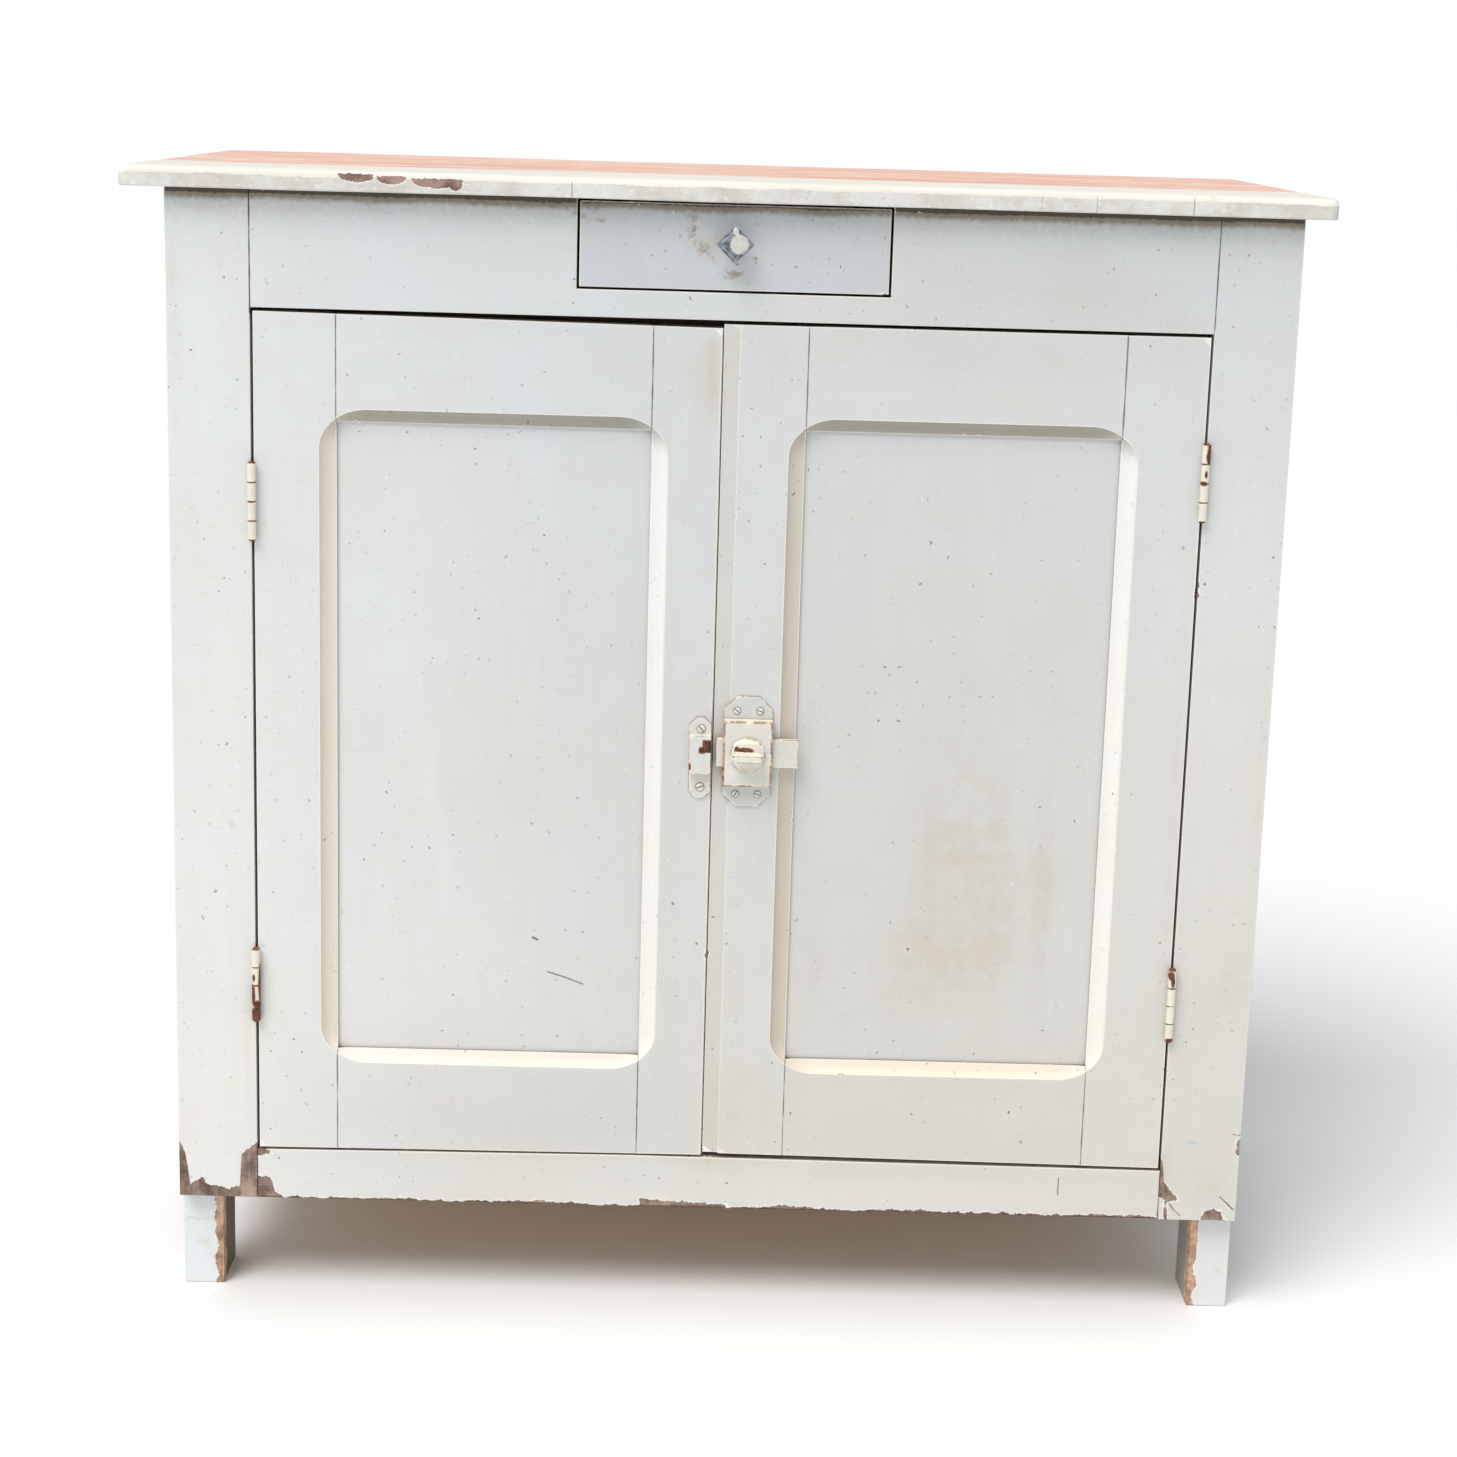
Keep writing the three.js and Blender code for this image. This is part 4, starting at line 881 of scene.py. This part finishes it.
def tint_of(node, face, at_joint, is_door, front_board):
    """Colour of one face, mostly painted light and shade: each side of a moulding, an arris, a gap or a leg
    is painted lighter or darker by the way it faces, with dark joints and some dirt.
    """
    n, depth = face.normal, face.center.y - FRONT
    flip = -1 if node.startswith("right_door") else 1
    lead = node_boxes["right_door_lock_stile"][0].x + 15.5 * MM
    # The sunk strip at the right door's leading edge: its wall, facing left, is painted as a highlight; the
    # rest of the strip a little darker.
    if is_door and flip < 0 and face.center.x < lead and depth < 4 * MM and n.y < -0.02:
        if n.x < -0.25 and face.center.x > lead - 4 * MM:
            return (1.34, 1.32, 1.25)
        return (0.97, 0.955, 0.91)
    if is_door and 0.6 * MM < depth < 12 * MM and n.y < -0.02:
        return cove_tint(n, USUAL_SIDE[node.split("_door_")[-1]], flip)
    # The inner sides of the front legs are painted dark as shade, the left one darker.
    if node.startswith("front_post") and face.center.z < FRAME_BOTTOM and abs(n.x) > 0.7:
        on_left = node.endswith("left")
        if (n.x > 0) != on_left:
            return (1, 1, 1)
        return (0.16, 0.125, 0.085) if on_left else (0.48, 0.45, 0.40)
    # The meeting stiles' faces in the gap are painted lighter: painted light against the gap's shade.
    if node.endswith("lock_stile") and n.x * flip > 0.7:
        return (1.25, 1.2, 1.12)
    # Front boards: faces set back in the gaps painted dark, shade with dirt; joint bevels darker, the
    # left-facing side most, dark joints with painted shade; bevels facing up or left painted light as
    # highlights, those facing down or right painted dark as shade.
    if front_board:
        if n.y > 0.5:
            return (0.98, 0.95, 0.88)
        if depth > 1.3 * MM and n.y > -0.5:
            return (0.5, 0.44, 0.38)
        if at_joint and n.y > -0.95:
            return (0.5, 0.47, 0.44) if n.x < -0.3 else (0.8, 0.76, 0.71)
        if n.y > -0.9 and (n.z > 0.3 or n.x < -0.3):
            return (1.2, 1.18, 1.13)
        if n.y > -0.9 and (n.z < -0.3 or n.x > 0.3):
            return (0.8, 0.74, 0.66)
    # Iron: faces turned up painted light as a highlight, faces turned down painted dark as shade.
    if node in IRON_TONE and n.z > 0.3 and n.y < 0.5:
        return (1.25, 1.2, 1.08)
    if node in IRON_TONE and n.z < -0.3:
        return (0.85, 0.8, 0.72)
    # Hinges: front faces cream, the rest darker and browner: their tone with painted shade on the knuckles'
    # sides.
    if node.startswith("hinge_"):
        return (1.08, 1.03, 0.92) if n.y < -0.6 else (0.95, 0.86, 0.76)
    return (1, 1, 1)


def face_tints(node, mesh, joints):
    """Colours of all faces: painted light and shade, each board's own tone (the drawer front's is painted
    shade) and the paler and darker patches of the front, which are painted light and shade.
    """
    tints = np.ones((len(mesh.polygons), 4), np.float32)
    is_door = "_door_" in node and not node.endswith("panel") and not node.startswith("hinge_")
    front_board = is_door or node.endswith("_door_panel") or node in FRONT_BOARDS
    middles = np.array([face.center for face in mesh.polygons], float).reshape(-1, 3)
    by_joint = edge_distance(middles, joints) < 0.7
    for i, face in enumerate(mesh.polygons):
        tints[i, :3] = tint_of(node, face, by_joint[i], is_door, front_board)
    if front_board:
        # Patches of painted light and shade over the front.
        tints[:, :3] *= 1.0 + cloud(middles[:, 0] / MM, middles[:, 2] / MM, GLOW)[:, None]
    tints[:, :3] *= BODY_TONE.get(node, IRON_TONE.get(node, (1, 1, 1)))
    return tints


def worn(node, material, slot, radius=1.1, joint_radius=0.35, segments=2, cuts=None, lumps=0.25,
         rusty=0.0, shape=None):
    """A piece in place of a CAD node: the same solid, with worn arrises, uneven faces and marks of use."""
    piece, free, joints = round_edges(node, clean_mesh(node), radius * MM, joint_radius * MM, segments)
    mesh = piece.data
    bm = bmesh.new()
    bm.from_mesh(mesh)
    if cuts:
        cut_grid(bm, cuts)
    bm.to_mesh(mesh)
    bm.free()
    points = triples(mesh.vertices, "co")
    x, y, z = (points / MM).T
    seed = zlib.crc32(node.encode()) % 89
    nothing = np.full(len(points), FAR)
    bare = BARE[node](x, y, z) if node in BARE else nothing
    for place, field in RUSTY_HINGES.items():
        if node.startswith(f"hinge_{place}"):
            bare = field(x, y, z, node_boxes[f"hinge_{place}_frame_leaf"], node_boxes[f"hinge_{place}_pin"])
    near = y < FRONT / MM + 19
    if node not in ("top_board", "front_post_left", "front_post_right"):
        bare = np.where(near, bare, FAR)
    push = lumpy(points, 9, lumps * MM, seed) - np.clip(bare, 0, 1) * 0.35 * MM * (slot in PAINTED)
    moved = points + triples(mesh.vertex_normals, "vector") * push[:, None]
    if shape:
        moved += shape(x, y, z) * MM
    mesh.vertices.foreach_set("co", moved.astype(np.float32).ravel())
    carried = {"bare": np.clip(bare, FAR, 30), "edge": edge_distance(points, free)}
    carried["seam"] = edge_distance(points, joints)
    put_attribute(mesh, "grain", grain_of(node, points), "FLOAT_VECTOR")
    put_attribute(mesh, "tint", face_tints(node, mesh, joints), "FLOAT_COLOR", "FACE")
    if slot == "grey_paint":
        under = np.ones((len(points), 4))
        if node.startswith("front_post"):
            under[:, :3] = (1.9, 1.7, 1.45)
        elif node == "bottom_rail":
            under[z < FRAME_BOTTOM / MM + 2.4, :3] = (0.45, 0.38, 0.35)
        elif node == "face_stile_left":
            under[:, :3] = np.where(x > -453, 1.06, 0.78)[:, None]
        put_attribute(mesh, "under", under, "FLOAT_COLOR")
        carried["stain"] = np.where(near, cloud(x, z, STAINS), 0)
        carried["scratch"] = np.where(near & (y < FRONT / MM + 12), scratches(node, x, z), -5)
        carried["ink"] = np.where(near, np.clip(round_spot(x, z, 479, 182, 9, 1.6), 0, 1), 0)
        # Soot with painted shade, strongest right under the top: a narrow band that fades within about 9 mm
        # and a wide one fading over 20 mm.
        below = np.clip(FRAME_TOP / MM - z, 0, None)
        soot_and_shade = 0.95 * np.exp(-((below / (8.5 + ragged(x, 0.02, 2.5))) ** 1.5)) + 0.34 * np.exp(-below / 20)
        outside = (y < FRONT / MM + 2) & (not node.startswith("hinge"))
        carried["soot_and_shade"] = np.where(outside, soot_and_shade, 0)
    if slot in ("grey_paint", "bare_pine"):
        # Painted shade: bare pine within 40 mm of the front gets the full value and is painted near black;
        # on paint the value is the listed grime.
        hidden = (y < FRONT / MM + 40) & (slot == "bare_pine")
        carried["grime_and_shade"] = np.where(hidden, 1, np.where(near, cloud(x, z, GRIME), 0))
    if slot == "painted_iron":
        carried["rusty"] = np.full(len(points), rusty)
    for name, values in carried.items():
        put_attribute(mesh, name, values)
    finish_piece(piece, material, body_of[node])
    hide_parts(node)
    return piece


def finish_piece(piece, material, body, angle=38):
    """Material, smooth shading with flat faces kept flat, and the body that the piece moves with."""
    mesh = piece.data
    mesh.materials.clear()
    mesh.materials.append(material)
    mesh.shade_smooth()
    mesh.set_sharp_from_angle(angle=math.radians(angle))
    weighted = piece.modifiers.new("flat_faces", "WEIGHTED_NORMAL")
    weighted.keep_sharp = True
    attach(piece, body)


# ---------------------------------------------------------------- the cabinet


def all_round_cuts(node, pitch=24 * MM):
    low, high = node_boxes[node]
    return [spread(low[i], high[i], pitch) if high[i] - low[i] > 1.5 * pitch else [] for i in range(3)]


def front_cuts(node, pitch=8 * MM, zone=None, fine=2.2 * MM):
    """Cuts across and up a board of the front, closer together below the height zone."""
    low, high = node_boxes[node]
    across = spread(low.x, high.x, fine if zone else pitch)
    upright = spread(zone or low.z, high.z, pitch)
    if high.z > FRAME_TOP - 10 * MM:
        upright += spread(high.z - 22 * MM, high.z, 1.6 * MM)
    if zone:
        upright += spread(low.z, zone, fine) + [zone]
    if node == "bottom_rail":
        upright += [low.z + k * MM for k in (0.8, 1.6, 3.4, 4.2)]
    for x0, z0, x1, z1, _ in SCRATCHES.get(node, ()):
        across += spread((min(x0, x1) - 2) * MM, (max(x0, x1) + 2) * MM, 1.0 * MM)
        upright += spread((min(z0, z1) - 2) * MM, (max(z0, z1) + 2) * MM, 1.0 * MM)
    return [across, [], upright]


paint = aged_paint()
pink = top_paint()
pine_bare = pine("bare_pine", srgb(205, 172, 128), srgb(168, 126, 82), 0.25)
pine_aged = pine("aged_pine", srgb(138, 108, 78), srgb(98, 72, 50), 0.5)
iron = painted_iron()
steel = rusty_steel()
knob_metal = zinc()


def build_top():
    low, high = node_boxes["top_board"]
    across = spread(low.x, high.x, 9 * MM) + spread(-0.356, -0.238, 1.6 * MM)
    across += spread(low.x, low.x + 0.02, 1.6 * MM) + spread(high.x - 0.02, high.x, 2.5 * MM)
    deep = spread(low.y + 8 * MM, high.y, 20 * MM)
    upright = spread(low.z, high.z - 6 * MM, 1.8 * MM)

    def left_end(x, y, z):
        """The upper arris of the left end is rubbed round."""
        reach = np.clip(1 - (x - low.x / MM) / 12, 0, 1)
        drop = 14 * (1 - np.sqrt(1 - reach**2)) * np.clip((z - low.z / MM - 3) / 17, 0, 1)
        return np.stack([0 * x, 0 * x, -drop], axis=1)

    cuts = [across, deep, upright]
    piece = worn("top_board", pink, "top_paint", radius=1.6, cuts=cuts, lumps=0.9, shape=left_end)
    mesh = piece.data
    points = triples(mesh.vertices, "co") / MM
    rows = points[:, 1] - TOP_FRONT / MM
    ends = np.minimum(points[:, 0] - low.x / MM, high.x / MM - points[:, 0])
    put_attribute(mesh, "band", 140 - np.minimum(rows, ends * 30 + 70))
    depth_below = TOP_UPPER / MM - points[:, 2]
    put_attribute(mesh, "front", np.clip(depth_below - 6.8 + ragged(points[:, 0], 0.03, 1.6), -4, 3))


def meeting_edge(door, board):
    """The meeting edges lean a little, so that the doors' gap is narrower behind its arrises."""
    low, high = node_boxes[f"{door}_{board}"]
    side, way = (high.x, 1.0) if door == "left_door" else (low.x, -0.8)

    def lean(x, y, z):
        depth = y - FRONT / MM
        back = (np.abs(x - side / MM) < 1.3) & (depth > 2.2)
        return np.stack([np.where(back, way * (1 - (depth - 3) / 25), 0), 0 * x, 0 * x], axis=1)

    return lean


def build_front():
    worn("face_stile_left", paint, "grey_paint", cuts=front_cuts("face_stile_left", zone=0.176))
    worn("face_stile_right", paint, "grey_paint", cuts=front_cuts("face_stile_right", zone=0.19))
    for node, pitch in (("bottom_rail", 2.4), ("apron_rail", 5), ("drawer_front", 3)):
        worn(node, paint, "grey_paint", cuts=front_cuts(node, pitch * MM))
    for door in ("left_door", "right_door"):
        for board in ("hinge_stile", "lock_stile", "top_rail", "bottom_rail", "panel"):
            node = f"{door}_{board}"
            pitch = 3 if node == "left_door_panel" else 8
            shape = meeting_edge(door, board) if board == "lock_stile" else None
            cuts = front_cuts(node, pitch * MM)
            if shape:
                cuts[1] = [FRONT + 2.4 * MM, FRONT + 4 * MM, FRONT + 10 * MM]
            worn(node, paint, "grey_paint", cuts=cuts, shape=shape)


def build_case():
    for side in ("left", "right"):
        low, high = node_boxes[f"front_post_{side}"]
        upright = spread(0, FRAME_BOTTOM, 2.5 * MM)
        cuts = [spread(low.x, high.x, 2.5 * MM), spread(low.y, high.y, 6 * MM), upright]
        worn(f"front_post_{side}", paint, "grey_paint", radius=1.6, cuts=cuts, lumps=0.5)
        for kind in ("rear_post", "side_rail_upper", "side_rail_lower", "side_panel"):
            board = f"{kind}_{side}"
            worn(board, paint, "grey_paint", cuts=all_round_cuts(board))
        for kind in ("shelf_cleat", "drawer_runner", "drawer_side"):
            board = f"{kind}_{side}"
            worn(board, pine_bare, "bare_pine", radius=0.8, cuts=all_round_cuts(board))
    for board in ("floor_board", "shelf", "drawer_bearer", "drawer_back", "drawer_bottom"):
        worn(board, pine_bare, "bare_pine", radius=1.0, cuts=all_round_cuts(board), lumps=0.4)
    for board in ("back_rail_upper", "back_rail_lower", "back_board_1", "back_board_2", "back_board_3"):
        cuts = all_round_cuts(board)
        worn(board, pine_aged, "aged_pine", radius=1.4, joint_radius=1.0, cuts=cuts, lumps=0.6)


def build_iron():
    for node in nodes:
        if node.startswith("hinge_"):
            if node.endswith("_pin"):
                worn(node, steel, "rusty_steel", radius=0.3, lumps=0.05)
            else:
                cuts = all_round_cuts(node, 1.6 * MM)
                worn(node, iron, "painted_iron", radius=0.5, cuts=cuts, rusty=0.35)
    for node in ("latch_plate", "latch_case", "latch_bolt", "latch_knob", "keeper"):
        cuts = all_round_cuts(node, 1.6 * MM)
        worn(node, iron, "painted_iron", radius=0.7, segments=3, cuts=cuts, lumps=0.3, rusty=-0.1)
    cuts = all_round_cuts("drawer_knob", 1.5 * MM)
    worn("drawer_knob", knob_metal, "zinc", radius=0.6, segments=3, cuts=cuts, lumps=0.15)


def head_mesh(bm, centre, outward, radius, rise, slot_angle=None):
    """A domed screw head, slotted at slot_angle, or a nail head where that is None."""
    rings, around = 5, 28
    turn = Vector(outward).to_track_quat("Z", "X").to_matrix().to_4x4()
    place = Matrix.Translation(centre) @ turn
    circle = [2 * math.pi * j / around for j in range(around)]
    for half in [None] if slot_angle is None else [1, -1]:
        dome = bmesh.new()
        rows = []
        for k in range(rings + 1):
            share = k / rings
            r = radius * math.cos(share * math.pi / 2 * 0.8)
            h = rise * math.sin(share * math.pi / 2)
            rows.append([dome.verts.new((r * math.cos(a), r * math.sin(a), h)) for a in circle])
        base = [dome.verts.new((v.co.x, v.co.y, -0.4 * MM)) for v in rows[0]]
        rows.insert(0, base)
        for low, high in zip(rows, rows[1:]):
            for j in range(around):
                dome.faces.new((low[j], low[(j + 1) % around], high[(j + 1) % around], high[j]))
        dome.faces.new(rows[-1])
        dome.faces.new(reversed(rows[0]))
        if half:
            edges = bmesh.ops.bisect_plane(
                dome, geom=dome.verts[:] + dome.edges[:] + dome.faces[:], dist=1e-7,
                plane_co=(0, half * 0.15 * radius, 0), plane_no=(0, half, 0), clear_inner=True,
            )["geom_cut"]
            bmesh.ops.holes_fill(dome, edges=[e for e in edges if isinstance(e, bmesh.types.BMEdge)])
        spin = Matrix.Rotation(slot_angle or 0, 4, "Z")
        bmesh.ops.transform(dome, matrix=place @ spin, verts=dome.verts)
        copy_into(bm, dome)
    if slot_angle is not None:
        disc = bmesh.new()
        bmesh.ops.create_cone(
            disc, cap_ends=True, segments=around, radius1=radius * 0.9, radius2=radius * 0.9,
            depth=0.6 * MM, matrix=place @ Matrix.Translation((0, 0, 0.05 * MM)),
        )
        copy_into(bm, disc)


def copy_into(bm, other):
    mesh = bpy.data.meshes.new("part")
    other.to_mesh(mesh)
    other.free()
    bm.from_mesh(mesh)
    bpy.data.meshes.remove(mesh)


def heads(name, body, material, spots):
    """One piece of several screw or nail heads. spots: centre, outward, radius, rise and slot angle."""
    bm = bmesh.new()
    for spot in spots:
        head_mesh(bm, *spot)
    mesh = bpy.data.meshes.new(name)
    bm.to_mesh(mesh)
    bm.free()
    piece = placed(name, mesh)
    count = len(mesh.vertices)
    for attribute, value in (("bare", FAR), ("edge", 1.2), ("rusty", -1.0)):
        put_attribute(mesh, attribute, np.full(count, value))
    points, rims = triples(mesh.vertices, "co"), np.full(count, 5.0)
    for centre, outward, radius, *_ in spots:
        gap = np.linalg.norm((points - np.array(centre)) * (1 - np.abs(np.array(outward))), axis=1)
        rims = np.where(gap < radius * 1.01, (radius - gap) / MM * 0.8, rims)
    put_attribute(mesh, "seam", rims)
    tints = np.tile((0.84, 0.86, 0.87, 1), (len(mesh.polygons), 1))
    put_attribute(mesh, "tint", tints, "FLOAT_COLOR", "FACE")
    finish_piece(piece, material, body, angle=30)


def build_fixings():
    """Screws of the latch and the keeper, and the nails of the back boards."""
    front, back = (0, -1, 0), (0, 1, 0)
    (cx, cz), plate = middle_of("latch_plate"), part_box("latch_plate")[0].y
    spots = [
        (((cx + across) * MM, plate, (cz + up) * MM), front, 3.9 * MM, 0.8 * MM, angle)
        for across, up, angle in ((-11, 40, 0.9), (11, 40, 1.3), (-10.5, -41.5, -0.5), (10.5, -41.5, 1.2))
    ]
    heads("latch_screws", body_of["latch_plate"], iron, spots)
    (cx, cz), plate = middle_of("keeper"), FRONT - 1.75 * MM
    spots = [
        (((cx + 0.6) * MM, plate, (cz + up) * MM), front, 4.6 * MM, 1.1 * MM, angle)
        for up, angle in ((28.5, 0.7), (-28.5, 1.9))
    ]
    heads("keeper_screws", body_of["keeper"], iron, spots)
    for number in (1, 2, 3):
        board = f"back_board_{number}"
        low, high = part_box(board)
        spots = []
        for rail in ("back_rail_upper", "back_rail_lower"):
            rail_low, rail_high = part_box(rail)
            level = (max(rail_low.z, low.z) + min(rail_high.z, high.z)) / 2
            for share in (0.08, 0.5, 0.92):
                wander = 6 * MM * math.sin(number * 5 + share * 9)
                centre = (low.x + (high.x - low.x) * share, high.y, level + wander)
                spots.append((centre, back, 2.6 * MM, 0.5 * MM, None))
        heads(f"back_nails_{number}", body_of[board], steel, spots)


build_top()
build_front()
build_case()
build_iron()
build_fixings()
floor()
sky(1.0, 0.56)
key_light((0.40, 0.52, -1.0), 2.05, 34, (1.0, 0.985, 0.96))
camera()
bpy.context.scene.view_settings.view_transform = "Standard"
